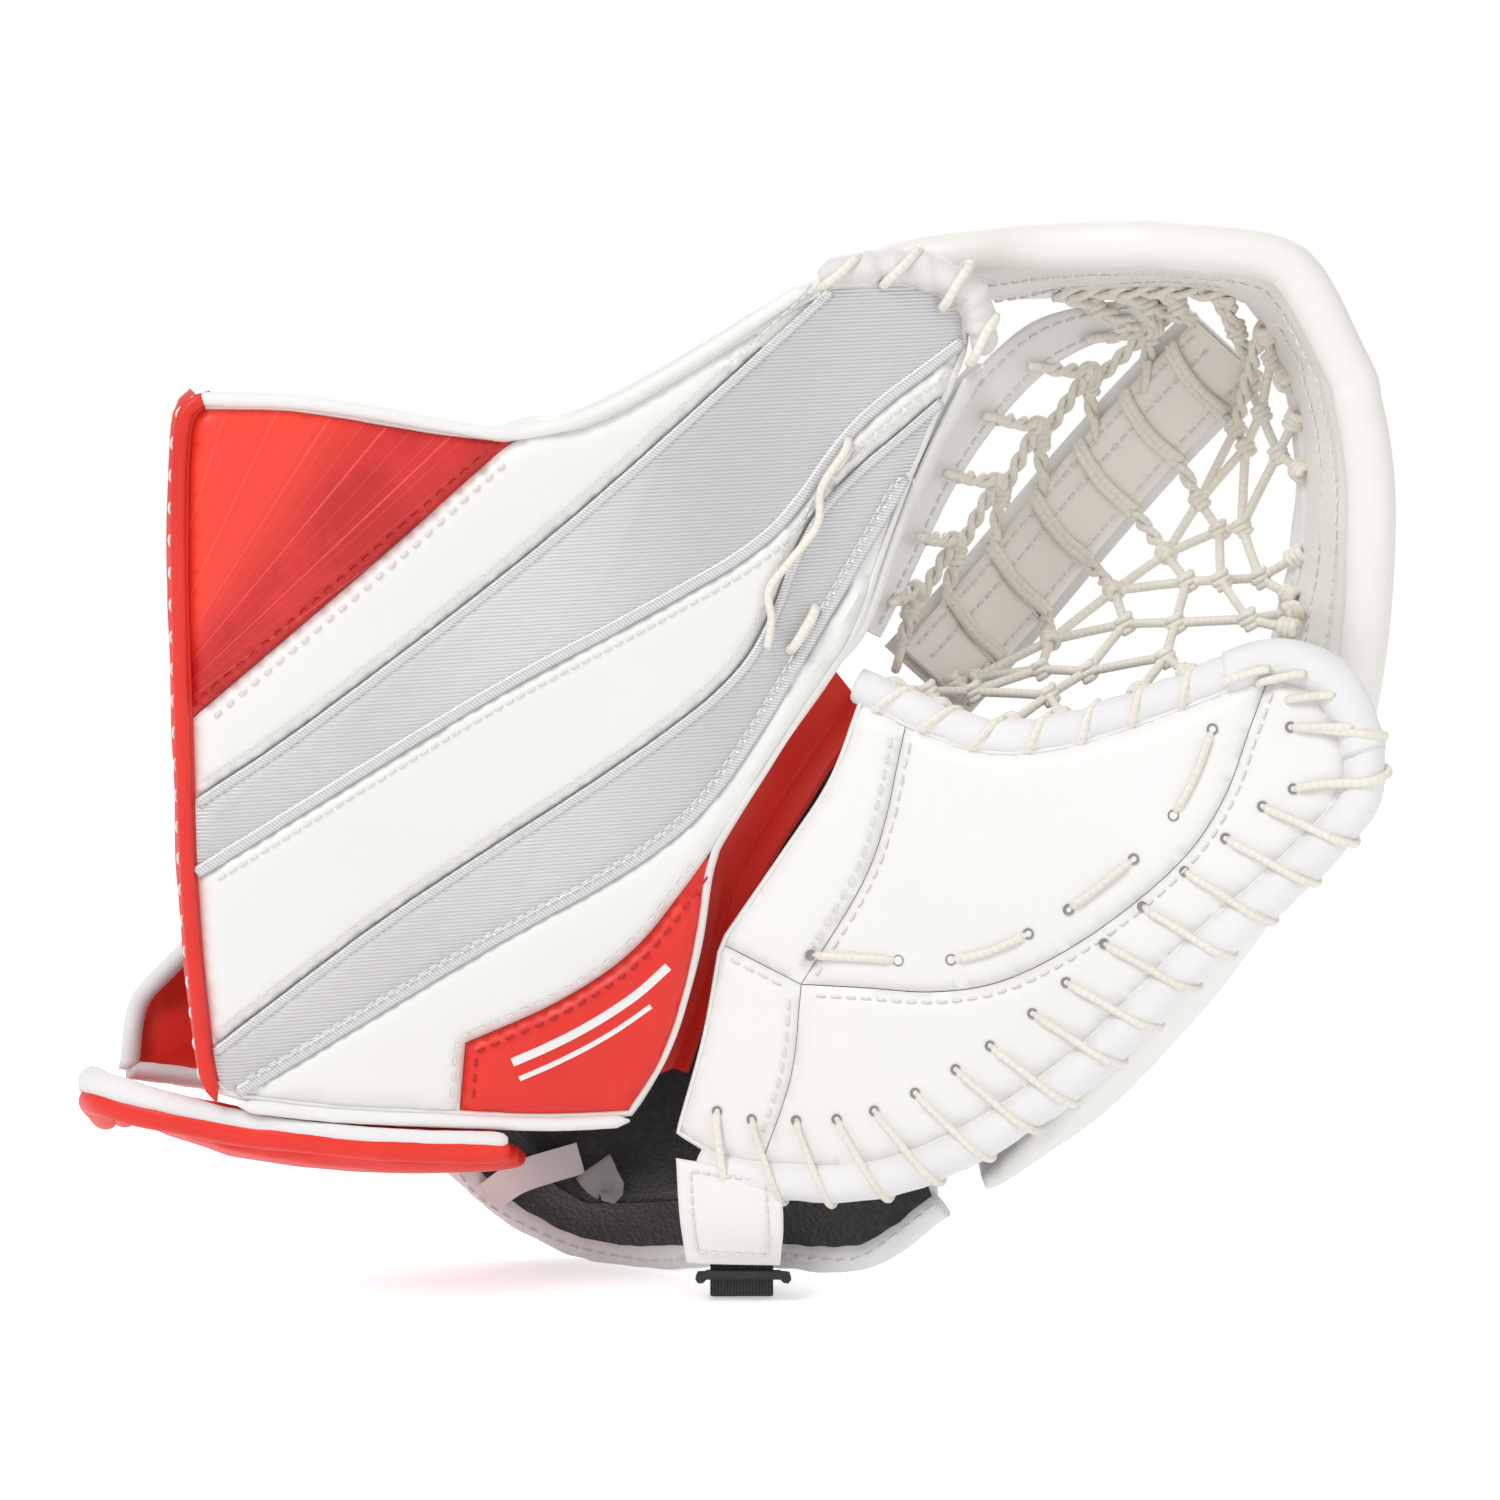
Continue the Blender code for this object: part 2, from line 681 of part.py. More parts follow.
def net_solid(name, body, rows, nu, nv):
    """An open lattice of lace: a thin curved sheet with a window in each cell."""
    surface = lofted(rows)
    points, faces = [], []
    layer = (nu + 1) * (nv + 1)
    size = layer + 4 * nu * nv
    for offset in (-LACE_RADIUS, LACE_RADIUS):
        for i in range(nu + 1):
            for k in range(nv + 1):
                points.append(surface_point(surface, i / nu, k / nv, offset))
        points += net_windows(surface, nu, nv, offset)
    for index, quad in enumerate(grid_faces(nu, nv, 0, False)):
        window = [layer + 4 * index + k for k in range(4)]
        for k in range(4):
            n = (k + 1) % 4
            faces.append([quad[k], quad[n], window[n], window[k]])
            faces.append([size + quad[n], size + quad[k], size + window[k], size + window[n]])
            faces.append([window[k], window[n], size + window[n], size + window[k]])
    rim = grid_rim(nu, nv)
    for a, b in zip(rim, rim[1:] + rim[:1]):
        faces.append([a, b, b + size, a + size])
    return add_solid(name, body, cream_lace(), points, faces)


def net_windows(surface, nu, nv, offset, share=0.80):
    """Corners of the window in each cell of a net."""
    corners = []
    for i in range(nu):
        for k in range(nv):
            for du, dv in ((0, 0), (0, 1), (1, 1), (1, 0)):
                u = (i + 0.5 + (du - 0.5) * share) / nu
                v = (k + 0.5 + (dv - 0.5) * share) / nv
                corners.append(surface_point(surface, u, v, offset))
    return corners


def build_nets():
    """Laced netting on both sides of the stem strap."""
    reach = STEM_WIDTH / 2 + 4.5
    upper = [tuple(Vector(p) + STEM_ACROSS * reach) for p in STEM_AXIS]
    lower = [tuple(Vector(p) - STEM_ACROSS * reach) for p in STEM_AXIS]
    thumb_rows = [net_row(SKIRT_INNER, upper, t, 5.0) for t in (0.22, 0.6, 1.0)]
    net_solid("net_thumb_side", "pocket", thumb_rows, 7, 2)
    palm_rows = [net_row(lower, POCKET_RIM, t, 4.0) for t in (0.0, 0.5, 1.0)]
    net_solid("net_palm_side", "palm", palm_rows, 7, 3)


# ---------------------------------------------------------------- palm

POCKET_EDGE = [(46, 175), (68, 168), (91, 170), (119, 180), (149, 193)]
FINGER_EDGE = [(149, 193), (163, 187), (169, 164), (152, 141), (124, 114), (94, 82), (61, 57),
               (33, 45), (3, 43)]
HEEL_EDGE = [(3, 43), (-10, 45), (-22, 51)]
FOLD_EDGE_LOW = [(-22, 51), (-14, 80), (-9, 108)]
FOLD_EDGE_HIGH = [(-9, 108), (10, 136), (24, 158), (33, 182)]
CROTCH_EDGE = [(33, 182), (46, 175)]
CENTRE_FOLD = [(46, 175), (36, 134), (15, 97)]
CENTRE_OUTER = [(15, 97), (73, 101), (127, 142), (149, 193)]
HEEL_TOP = [(-9, 108), (15, 97)]
HEEL_RIGHT = [(15, 97), (12, 70), (3, 43)]


def palm_outline():
    return closed_outline(POCKET_EDGE, FINGER_EDGE, HEEL_EDGE, FOLD_EDGE_LOW, FOLD_EDGE_HIGH,
                          CROTCH_EDGE)


def palm_panel(name, *stretches):
    outline = shrunk(closed_outline(*stretches), SEAM)
    return leaf_solid(name, "palm", white_leather(), outline, palm_depth, 0.0, SKIN, PALM_CELL)


def build_palm():
    """Skin panels, foam and lining of the palm and fingers."""
    palm_panel("palm_centre_panel", CENTRE_OUTER, back(POCKET_EDGE), CENTRE_FOLD)
    palm_panel("palm_fold_panel", back(CENTRE_FOLD), back(CROTCH_EDGE), back(FOLD_EDGE_HIGH),
               HEEL_TOP)
    palm_panel("palm_heel_panel", back(HEEL_TOP), back(FOLD_EDGE_LOW), back(HEEL_EDGE),
               back(HEEL_RIGHT))
    palm_panel("palm_outer_panel", back(CENTRE_OUTER), HEEL_RIGHT, back(FINGER_EDGE))
    core = shrunk(palm_outline(), 1.0)
    foam_back = PALM_THICKNESS - 1.8
    leaf_solid("palm_foam", "palm", foam(), core, palm_depth, SKIN + GAP, foam_back, PALM_CELL)
    leaf_solid("palm_lining", "palm", black_lining(), core, palm_depth, foam_back + GAP,
               PALM_THICKNESS, PALM_CELL)


def beside(curve, distance, depth, offset=0.0):
    """Curve on a leaf, moved sideways to the outside of an edge."""
    smooth = [Vector(p) for p in spline(curve, 3)]
    moved = []
    for i, spot in enumerate(smooth):
        ahead = smooth[min(i + 1, len(smooth) - 1)] - smooth[max(i - 1, 0)]
        outward = Vector((-ahead.y, ahead.x)).normalized() * distance
        moved.append(on_leaf(depth, spot.x + outward.x, spot.y + outward.y, offset))
    return moved


def coil(path, roll_radius, turns, per_turn=8):
    """Lace wound around a roll, clear of the roll at the middle of each step."""
    frames = ring_frames(path, False)
    radius = (roll_radius + LACE_RADIUS + GAP) / math.cos(math.pi / per_turn)
    wound = []
    steps = turns * per_turn
    for i in range(steps + 1):
        position = (0.02 + 0.96 * i / steps) * (len(path) - 1)
        low = min(int(position), len(path) - 2)
        share = position - low
        centre = Vector(path[low]).lerp(Vector(path[low + 1]), share)
        side = frames[low][0].lerp(frames[low + 1][0], share).normalized()
        other = frames[low][1].lerp(frames[low + 1][1], share).normalized()
        angle = 2 * math.pi * i / per_turn
        wound.append(centre + (side * math.cos(angle) + other * math.sin(angle)) * radius)
    return wound


def build_palm_edges():
    """The rolls around the palm and the laces that hold them."""
    clearance = 2 * LACE_RADIUS + 3 * GAP
    edge = FINGER_EDGE[1:-1] + [(16, 42)]
    roll = beside(edge, EDGE_ROLL_RADIUS + clearance, palm_depth, 3.0)
    tube("finger_edge_roll", "palm", white_nylon(), roll, EDGE_ROLL_RADIUS, 8)
    lace = coil(roll, EDGE_ROLL_RADIUS, 15)
    tube("finger_edge_lace", "palm", cream_lace(), lace, LACE_RADIUS, 4)
    roll = beside(POCKET_EDGE, POCKET_ROLL_RADIUS + clearance, palm_depth, 5.0)[:-2]
    tube("pocket_edge_roll", "palm", white_nylon(), roll, POCKET_ROLL_RADIUS, 8)
    lace = coil(roll, POCKET_ROLL_RADIUS, 9)
    tube("pocket_edge_lace", "palm", cream_lace(), lace, LACE_RADIUS, 4)


def build_gusset():
    """Red folding web between the thumb board and the palm."""
    rows = [[(-27, 30, 66), (-17, 30, 100), (-12, 31, 132), (8, 33, 164), (26, 35, 186)],
            [(-24, 36, 66), (-12, 38, 100), (-6, 40, 130), (14, 42, 160), (31, 43, 182)],
            [(-19, 28, 66), (-7, 28, 100), (4, 28, 126), (20, 28, 152), (35, 28, 176)]]
    patch_solid("fold_gusset", "palm", red_leather(), lofted(rows), 8, 3, -0.8, 0.8)


def build_fingers():
    """Four finger stalls between the palm's lining and the back shell."""
    stalls = [("index_stall", (42, 30, 152), (134, 0, 172)),
              ("middle_stall", (40, 31, 128), (138, -2, 148)),
              ("ring_stall", (34, 33, 105), (126, 1, 124)),
              ("little_stall", (26, 35, 83), (98, 8, 97))]
    for name, start, end in stalls:
        sock(name, "palm", black_lining(), start, end, 10.0, 8.5, 1.3)


def build_finger_shell():
    """Stiff padded shell over the backs of the fingers."""
    rows = [[(68, 9, 33), (104, -5, 63), (136, -14, 100), (157, -17, 124), (161, -8, 139),
             (150, 8, 158)],
            [(72, 40, 34), (110, 32, 62), (140, 26, 94), (157, 20, 120), (157, 22, 138),
             (143, 25, 160)],
            [(70, 66, 56), (98, 60, 84), (120, 54, 108), (134, 46, 128), (136, 42, 144),
             (126, 40, 162)],
            [(68, 76, 84), (78, 74, 104), (86, 70, 122), (92, 66, 138), (96, 62, 150),
             (98, 56, 162)]]
    patch_solid("finger_back_shell", "palm", white_leather(), lofted(rows), 10, 6, 0.0, 9.0)


# ---------------------------------------------------------------- backhand and wrist

BACKHAND_RIM = [(-100, 62, 40), (-86, 66, 22), (-68, 65, 10), (-48, 59, 3.6), (-26, 49, 3.6),
                (-6, 38, 9), (12, 28, 10), (34, 18, 12), (56, 14, 28)]
BACKHAND_ROWS = [
    [(-99, 63, 42), (-62, 66, 12.5), (-34, 55, 8.5), (4, 34, 12.5), (34, 21, 15.5), (58, 17, 32)],
    [(-100, 78, 58), (-62, 84, 34), (-30, 80, 26), (4, 64, 20), (34, 50, 26), (60, 42, 36)],
    [(-98, 84, 84), (-62, 92, 72), (-30, 92, 68), (2, 88, 66), (34, 80, 64), (59, 73, 62)],
    [(-88, 82, 120), (-58, 90, 128), (-30, 93, 132), (2, 92, 130), (34, 86, 122), (58, 78, 110)],
    [(-60, 74, 150), (-40, 80, 166), (-20, 82, 172), (6, 82, 172), (32, 78, 160), (52, 74, 140)]]


def build_backhand():
    """Padded back of the hand, with the lining on its inner face and its bound edge."""
    surface = lofted(BACKHAND_ROWS)
    patch_solid("backhand_pad", "backhand", white_leather(), surface, 9, 8, -2.3, 11.0)
    patch_solid("backhand_lining", "backhand", black_lining(), surface, 9, 8, 11.4, 13.2)
    path = spline([(x, y - 3.0, z - 1.0) for x, y, z in BACKHAND_RIM], 2)
    tube("backhand_binding", "backhand", white_nylon(), path, 4.0, 8, floor=0.0)


def build_wrist_strap():
    """Wrist tab on the palm's heel, its plastic loop and the elastic through it."""
    rows = [[(-22, 7, 44), (-6, 4, 42), (9, 1, 41)],
            [(-21, 3, 29), (-5, 0, 27), (10, -2, 26)],
            [(-19, 4, 13), (-4, 3.5, 13), (9, 3.5, 13)]]
    patch_solid("wrist_tab", "wrist_tab", white_leather(), lofted(rows), 4, 5, -1.4, 1.4)
    ring = [(-13, 4.5, 9.0), (9, 4.5, 9.0), (11, 4.5, 7.6), (11, 11.5, 7.0), (9, 12.5, 6.8),
            (-13, 12.5, 6.8), (-15, 11.5, 7.0), (-15, 4.5, 7.6)]
    tube("strap_loop", "tab_loop", black_plastic(), ring, 1.5, 6, closed=True)
    web = [[(-12, 8.5, 12.5), (-12, 8.2, 6), (-12, 9.5, 2.0), (-12, 18, 1.4), (-12, 28, 1.4)],
           [(7, 8.5, 12.5), (7, 8.2, 6), (7, 9.5, 2.0), (7, 16, 1.4), (7, 24, 1.4)]]
    patch_solid("wrist_elastic", "elastic", black_lining(), lofted(web), 10, 1, -0.7, 0.7)


def build_cuff_wrap():
    """Flap under the cuff that closes around the wrist, with its binding and fastener."""
    rows = [[(-184, -4, 62.5), (-150, -6, 55), (-110, -4, 50), (-70, 2, 47)],
            [(-190, 18, 56), (-150, 18, 46.5), (-110, 20, 42), (-66, 24, 42.5)],
            [(-192, 42, 47), (-150, 44, 42), (-112, 46, 42), (-76, 44, 46)]]
    surface = lofted(rows)
    patch_solid("cuff_wrap", "cuff_wrap", red_leather(), surface, 7, 4, -3.2, 3.2)
    edge = [(-72, -4, 49), (-110, -10, 51.5), (-150, -12, 57), (-184, -10, 65), (-196, 2, 66),
            (-199, 24, 59), (-199, 40, 52)]
    tube("cuff_wrap_binding", "cuff_wrap", white_nylon(), spline(edge, 3), 3.0, 6)

    def patch(u, v):
        return surface(0.08 + 0.34 * u, 0.30 + 0.6 * v)

    patch_solid("wrap_fastener", "cuff_wrap", black_lining(), patch, 4, 3, 3.6, 5.2)


def build_wrist_pad():
    """Pad behind the wrist, which carries the backhand's padding on towards the forearm."""
    rows = [[(-196, 50, 62), (-158, 64, 54), (-106, 68, 50)],
            [(-192, 58, 88), (-156, 74, 86), (-105, 84, 84)],
            [(-172, 56, 114), (-142, 72, 120), (-96, 82, 124)]]
    patch_solid("wrist_pad", "backhand", red_leather(), lofted(rows), 6, 5, 0.0, 8.0)


def main():
    clear_scene()
    make_bodies()
    build_board_skins()
    build_board_core()
    build_board_edges()
    build_thumb()
    build_band()
    build_stem()
    build_nets()
    build_palm()
    build_palm_edges()
    build_gusset()
    build_fingers()
    build_finger_shell()
    build_backhand()
    build_wrist_strap()
    build_cuff_wrap()
    build_wrist_pad()


main()
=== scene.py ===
"""Looks of the goalie catch glove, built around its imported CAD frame.

Places come from the frame: the edges, surfaces and sections of the CAD nodes are read and
finer pieces are built on them. Lengths here are in millimetres times MM, so in metres.
"""

import math
import random

import bmesh
import bpy
import numpy as np
from mathutils import Matrix, Vector, noise
from mathutils.bvhtree import BVHTree
from mathutils.geometry import delaunay_2d_cdt


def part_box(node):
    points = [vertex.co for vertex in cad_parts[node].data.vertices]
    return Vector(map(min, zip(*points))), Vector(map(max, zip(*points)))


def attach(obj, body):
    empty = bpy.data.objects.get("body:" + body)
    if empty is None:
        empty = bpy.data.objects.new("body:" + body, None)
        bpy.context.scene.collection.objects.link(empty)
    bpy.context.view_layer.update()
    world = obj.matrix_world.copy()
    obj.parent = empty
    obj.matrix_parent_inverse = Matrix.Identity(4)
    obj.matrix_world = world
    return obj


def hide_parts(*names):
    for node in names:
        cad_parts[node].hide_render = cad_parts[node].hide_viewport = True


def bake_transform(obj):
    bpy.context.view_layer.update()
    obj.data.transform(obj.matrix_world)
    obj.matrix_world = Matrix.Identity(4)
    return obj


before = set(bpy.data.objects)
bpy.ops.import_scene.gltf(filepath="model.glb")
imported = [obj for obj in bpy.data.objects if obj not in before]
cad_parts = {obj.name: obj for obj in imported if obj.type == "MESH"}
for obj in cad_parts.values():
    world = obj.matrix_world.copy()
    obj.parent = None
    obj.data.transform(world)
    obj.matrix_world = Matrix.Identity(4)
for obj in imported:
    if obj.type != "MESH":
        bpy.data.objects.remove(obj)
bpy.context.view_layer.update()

MM = 0.001
TURN = 2 * math.pi
PALM_SIDE = Vector((0, -1, 0))
random.seed(7)


# ---------------------------------------------------------------- curves

def cubic(values, t):
    """Value at t of a smooth curve that runs from the second of four values to the third."""
    a, b, c, d = values
    return 0.5 * (2 * b + (c - a) * t + (2 * a - 5 * b + 4 * c - d) * t ** 2
                  + (3 * b - a - 3 * c + d) * t ** 3)


def smooth_curve(points, step):
    """Evenly spaced points on a smooth curve through the given ones."""
    knots = [Vector(p) for p in points]
    if len(knots) == 2:
        dense = knots
    else:
        knots = [2 * knots[0] - knots[1]] + knots + [2 * knots[-1] - knots[-2]]
        dense = []
        for i in range(1, len(knots) - 2):
            dense += [cubic(knots[i - 1:i + 3], k / 8) for k in range(8)]
        dense.append(knots[-2])
    return spaced(dense, step)


def spaced(points, step):
    """Points at even distances along a polyline, both ends kept."""
    points = np.array([tuple(p) for p in points], float)
    lengths = np.linalg.norm(np.diff(points, axis=0), axis=1)
    total = np.concatenate([[0], np.cumsum(lengths)])
    count = max(2, int(round(total[-1] / step)) + 1)
    marks = np.linspace(0, total[-1], count)
    columns = [np.interp(marks, total, points[:, k]) for k in range(points.shape[1])]
    return [Vector(row) for row in np.stack(columns, axis=1)]


def length_of(points):
    """Length of a polyline."""
    return sum((b - a).length for a, b in zip(points, points[1:]))


def nearest(points, spot):
    """Index of the point nearest to a spot."""
    return min(range(len(points)), key=lambda i: (points[i] - spot).length)


def rightwards(path):
    """The path from its left end to its right one."""
    return path[::-1] if path[0].x > path[-1].x else path


def at(points, t):
    """Point at the fraction t of a polyline's length."""
    wanted = max(0.0, min(1.0, t)) * length_of(points)
    for a, b in zip(points, points[1:]):
        run = (b - a).length
        if wanted <= run:
            return a.lerp(b, wanted / run if run else 0.0)
        wanted -= run
    return points[-1].copy()


def tangents(points, closed=False):
    """Direction of a polyline at each of its points."""
    count = len(points)
    found = []
    for i in range(count):
        before = points[i - 1] if closed or i else points[0]
        after = points[(i + 1) % count] if closed or i < count - 1 else points[-1]
        found.append((after - before).normalized())
    return found


def square_to(axis, helper=Vector((0, 1, 0))):
    """A direction at right angles to an axis and, unless it runs along it, to a helper."""
    if abs(axis.dot(helper)) >= 0.9:
        helper = Vector((1, 0, 0))
    return axis.cross(helper).normalized()


def around(frame_, angle):
    """Direction at an angle in the plane of a (side, other) pair."""
    side, other = frame_
    return side * math.cos(angle) + other * math.sin(angle)


def frames_along(points, up=None):
    """(side, other) at each point of a path; other stays near up when up is given."""
    frames = []
    side = None
    for i, tangent in enumerate(tangents(points)):
        if up is not None:
            hint = up[i] if isinstance(up, list) else up
            side = tangent.cross(hint).normalized()
        elif side is None:
            side = square_to(tangent)
        else:
            side = (side - tangent * side.dot(tangent)).normalized()
        frames.append((side, side.cross(tangent)))
    return frames


# ---------------------------------------------------------------- reading the frame

def welded(node):
    """The CAD node's mesh with its split corners joined and its parts numbered."""
    bm = bmesh.new()
    bm.from_mesh(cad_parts[node].data)
    bmesh.ops.remove_doubles(bm, verts=bm.verts[:], dist=2e-6)
    bmesh.ops.recalc_face_normals(bm, faces=bm.faces[:])
    for parts in (bm.verts, bm.edges, bm.faces):
        parts.index_update()
    return bm


def in_order(parts):
    """Mesh parts by number, so that every run goes through them alike."""
    return sorted(parts, key=lambda part: part.index)


def smooth_regions(bm, angle=38):
    """Groups of faces that meet at small angles, largest area first."""
    limit = math.radians(angle)
    left = set(bm.faces)
    regions = []
    for start in bm.faces:
        if start not in left:
            continue
        left.discard(start)
        region, stack = [start], [start]
        while stack:
            for edge in stack.pop().edges:
                if len(edge.link_faces) != 2 or edge.calc_face_angle(0) > limit:
                    continue
                for face in edge.link_faces:
                    if face in left:
                        left.discard(face)
                        region.append(face)
                        stack.append(face)
        regions.append(in_order(region))
    return sorted(regions, key=lambda r: -sum(f.calc_area() for f in r))


def facing_region(bm, facing, angle=38):
    """The larger smooth region that looks along a direction."""
    facing = Vector(facing)

    def score(region):
        total = Vector()
        for face in region:
            total += face.normal * face.calc_area()
        return total.dot(facing)

    return max(smooth_regions(bm, angle)[:2], key=score)


def region_loop(region):
    """Corner points around a region, in order."""
    inside = set(region)
    after = {}
    for face in region:
        for loop in face.loops:
            others = [f for f in loop.edge.link_faces if f is not face and f in inside]
            if not others:
                after[loop.vert] = loop.link_loop_next.vert
    start = next(iter(after))
    loop, vert = [], start
    while True:
        loop.append(vert.co.copy())
        vert = after[vert]
        if vert is start or len(loop) > len(after):
            return loop


def front_loop(node):
    """Ordered points of a leaf panel's front edge."""
    bm = welded(node)
    loop = region_loop(facing_region(bm, (0, -1, 0)))
    bm.free()
    return loop


class Leaf:
    """The curved board that a group of panels lies on, as y over x and z."""

    def __init__(self, *nodes):
        points = np.array([tuple(p) for node in nodes for p in front_loop(node)])
        self.fit = np.linalg.lstsq(self.terms(points[:, 0], points[:, 2]), points[:, 1],
                                   rcond=None)[0]

    @staticmethod
    def terms(x, z):
        x, z = np.atleast_1d(x) * 10, np.atleast_1d(z) * 10
        return np.stack([np.ones_like(x), x, z, x * x, x * z, z * z], axis=1)

    def y(self, x, z):
        return float((self.terms(x, z) @ self.fit)[0])

    def normal(self, x, z):
        """Direction towards the palm side."""
        step = 0.0005
        slope_x = (self.y(x + step, z) - self.y(x - step, z)) / (2 * step)
        slope_z = (self.y(x, z + step) - self.y(x, z - step)) / (2 * step)
        return Vector((slope_x, -1.0, slope_z)).normalized()

    def point(self, x, z, lift=0.0):
        return Vector((x, self.y(x, z), z)) + self.normal(x, z) * lift


class Patch:
    """One face of a CAD slab as a smooth surface of (u, v), from its edges and its mesh."""

    def __init__(self, node, facing, first, second, angle=38):
        bm = welded(node)
        region = facing_region(bm, facing, angle)
        loop = region_loop(region)
        count = len(loop)
        turning = []
        for i in range(count):
            one = (loop[i] - loop[i - 1]).normalized()
            two = (loop[(i + 1) % count] - loop[i]).normalized()
            turning.append((one.angle(two, 0.0), i))
        corners = sorted(i for _, i in sorted(turning, reverse=True)[:4])
        start = max(corners, key=lambda i: loop[i].dot(Vector(first)))
        order = corners[corners.index(start):] + corners[:corners.index(start)]
        sides = []
        for a, b in zip(order, order[1:] + order[:1]):
            span = (b - a) % count
            sides.append([loop[(a + k) % count] for k in range(span + 1)])
        along_first = (sides[0][-1] - sides[0][0]).dot(Vector(second))
        along_last = (sides[3][0] - sides[3][-1]).dot(Vector(second))
        if along_first >= along_last:
            self.low, self.right = sides[0], sides[1]
            self.high, self.left = sides[2][::-1], sides[3][::-1]
        else:
            self.low, self.right = sides[3][::-1], sides[2][::-1]
            self.high, self.left = sides[1], sides[0]
        self.low, self.high, self.left, self.right = [
            smooth_curve(side, length_of(side) / 40)
            for side in (self.low, self.high, self.left, self.right)]
        verts = in_order({v for f in region for v in f.verts})
        index = {v: i for i, v in enumerate(verts)}
        self.tree = BVHTree.FromPolygons([v.co.copy() for v in verts],
                                         [[index[v] for v in f.verts] for f in region])
        self.cells = 7
        self.rest = [[self.residual(i / self.cells, k / self.cells)
                      for k in range(self.cells + 1)] for i in range(self.cells + 1)]
        total = sum((f.normal * f.calc_area() for f in region), Vector())
        bm.free()
        du = self.point(0.55, 0.5) - self.point(0.45, 0.5)
        dv = self.point(0.5, 0.55) - self.point(0.5, 0.45)
        self.sign = 1 if du.cross(dv).dot(total) > 0 else -1

    def coons(self, u, v):
        low, high = at(self.low, u), at(self.high, u)
        left, right = at(self.left, v), at(self.right, v)
        corners = ((1 - u) * (1 - v) * self.low[0] + u * (1 - v) * self.low[-1]
                   + (1 - u) * v * self.high[0] + u * v * self.high[-1])
        return (1 - v) * low + v * high + (1 - u) * left + u * right - corners

    def residual(self, u, v):
        flat = self.coons(u, v)
        if u in (0, 1) or v in (0, 1):
            return Vector((0, 0, 0))
        return self.tree.find_nearest(flat)[0] - flat

    def point(self, u, v):
        u, v = max(0.0, min(1.0, u)), max(0.0, min(1.0, v))
        n = self.cells
        x, y = u * n, v * n
        i, k = min(int(x), n - 1), min(int(y), n - 1)
        across = [cubic([self.rest[max(0, min(n, i + a))][max(0, min(n, k + b))]
                         for b in (-1, 0, 1, 2)], y - k) for a in (-1, 0, 1, 2)]
        return self.coons(u, v) + cubic(across, x - i)

    def normal(self, u, v):
        """Outward direction of the face at (u, v)."""
        u, v = max(0.01, min(0.99, u)), max(0.01, min(0.99, v))
        du = self.point(u + 0.01, v) - self.point(u - 0.01, v)
        dv = self.point(u, v + 0.01) - self.point(u, v - 0.01)
        return du.cross(dv).normalized() * self.sign

    def grid(self, nu, nv):
        """Points and outward directions on a regular grid."""
        points = [[self.point(i / nu, k / nv) for k in range(nv + 1)] for i in range(nu + 1)]
        normals = []
        for i in range(nu + 1):
            row = []
            for k in range(nv + 1):
                du = points[min(nu, i + 1)][k] - points[max(0, i - 1)][k]
                dv = points[i][min(nv, k + 1)] - points[i][max(0, k - 1)]
                row.append(du.cross(dv).normalized() * self.sign)
            normals.append(row)
        return points, normals

    def line(self, spots, lift=0.0, step=2 * MM):
        """Smooth path through (u, v) spots, lifted off the face."""
        path = smooth_curve([Vector((u, v)) for u, v in spots], 0.02)
        return spaced([self.point(*p) + self.normal(*p) * lift for p in path], step)


# ---------------------------------------------------------------- making meshes

def linked(name, data):
    """A new object in the scene around a mesh, light or camera."""
    obj = bpy.data.objects.new(name, data)
    bpy.context.collection.objects.link(obj)
    return obj


def new_object(name, verts, faces, material, uvs=None, sharp=None):
    """A smooth-shaded mesh object; edges sharper than an angle stay sharp when one is given."""
    mesh = bpy.data.meshes.new(name)
    mesh.from_pydata([tuple(v) for v in verts], [], faces)
    if uvs is not None:
        layer = mesh.uv_layers.new(name="UVMap")
        flat = np.array([uvs[i] for face in faces for i in face], float).ravel()
        layer.data.foreach_set("uv", flat)
    mesh.materials.append(material)
    mesh.shade_smooth()
    if sharp:
        mesh.set_sharp_from_angle(angle=math.radians(sharp))
    return linked(name, mesh)


def join_meshes(name, parts, material):
    """One mesh from (verts, faces, uvs) parts."""
    verts, faces, uvs = [], [], []
    for part_verts, part_faces, part_uvs in parts:
        start = len(verts)
        verts += part_verts
        uvs += part_uvs
        faces += [[i + start for i in face] for face in part_faces]
    return new_object(name, verts, faces, material, uvs)


def tube_faces(rings, sides):
    """Quads between rings of points and a cap on each end."""
    faces = []
    for i in range(rings - 1):
        a, b = i * sides, (i + 1) * sides
        for k in range(sides):
            n = (k + 1) % sides
            faces.append([a + k, b + k, b + n, a + n])
    last = (rings - 1) * sides
    return faces + [list(range(sides)), list(range(last + sides - 1, last - 1, -1))]


def strip_faces(rows, size, closed=False):
    """Quads between rows of points, back to the first row if closed."""
    faces = []
    for i in range(rows if closed else rows - 1):
        a, b = i * size, ((i + 1) % rows) * size
        for k in range(size - 1):
            faces.append([a + k, a + k + 1, b + k + 1, b + k])
    return faces


def slab_faces(nu, nv):
    """Faces of a slab whose upper and lower points are two grids, with its rim closed."""
    layer = (nu + 1) * (nv + 1)
    faces = []
    for i in range(nu):
        for k in range(nv):
            a = i * (nv + 1) + k
            quad = [a, a + nv + 1, a + nv + 2, a + 1]
            faces += [quad, [j + layer for j in reversed(quad)]]
    rim = [i * (nv + 1) for i in range(nu + 1)] + [nu * (nv + 1) + k for k in range(1, nv + 1)]
    rim += [i * (nv + 1) + nv for i in range(nu - 1, -1, -1)] + list(range(nv - 1, 0, -1))
    for a, b in zip(rim, rim[1:] + rim[:1]):
        faces.append([b, a, a + layer, b + layer])
    return faces


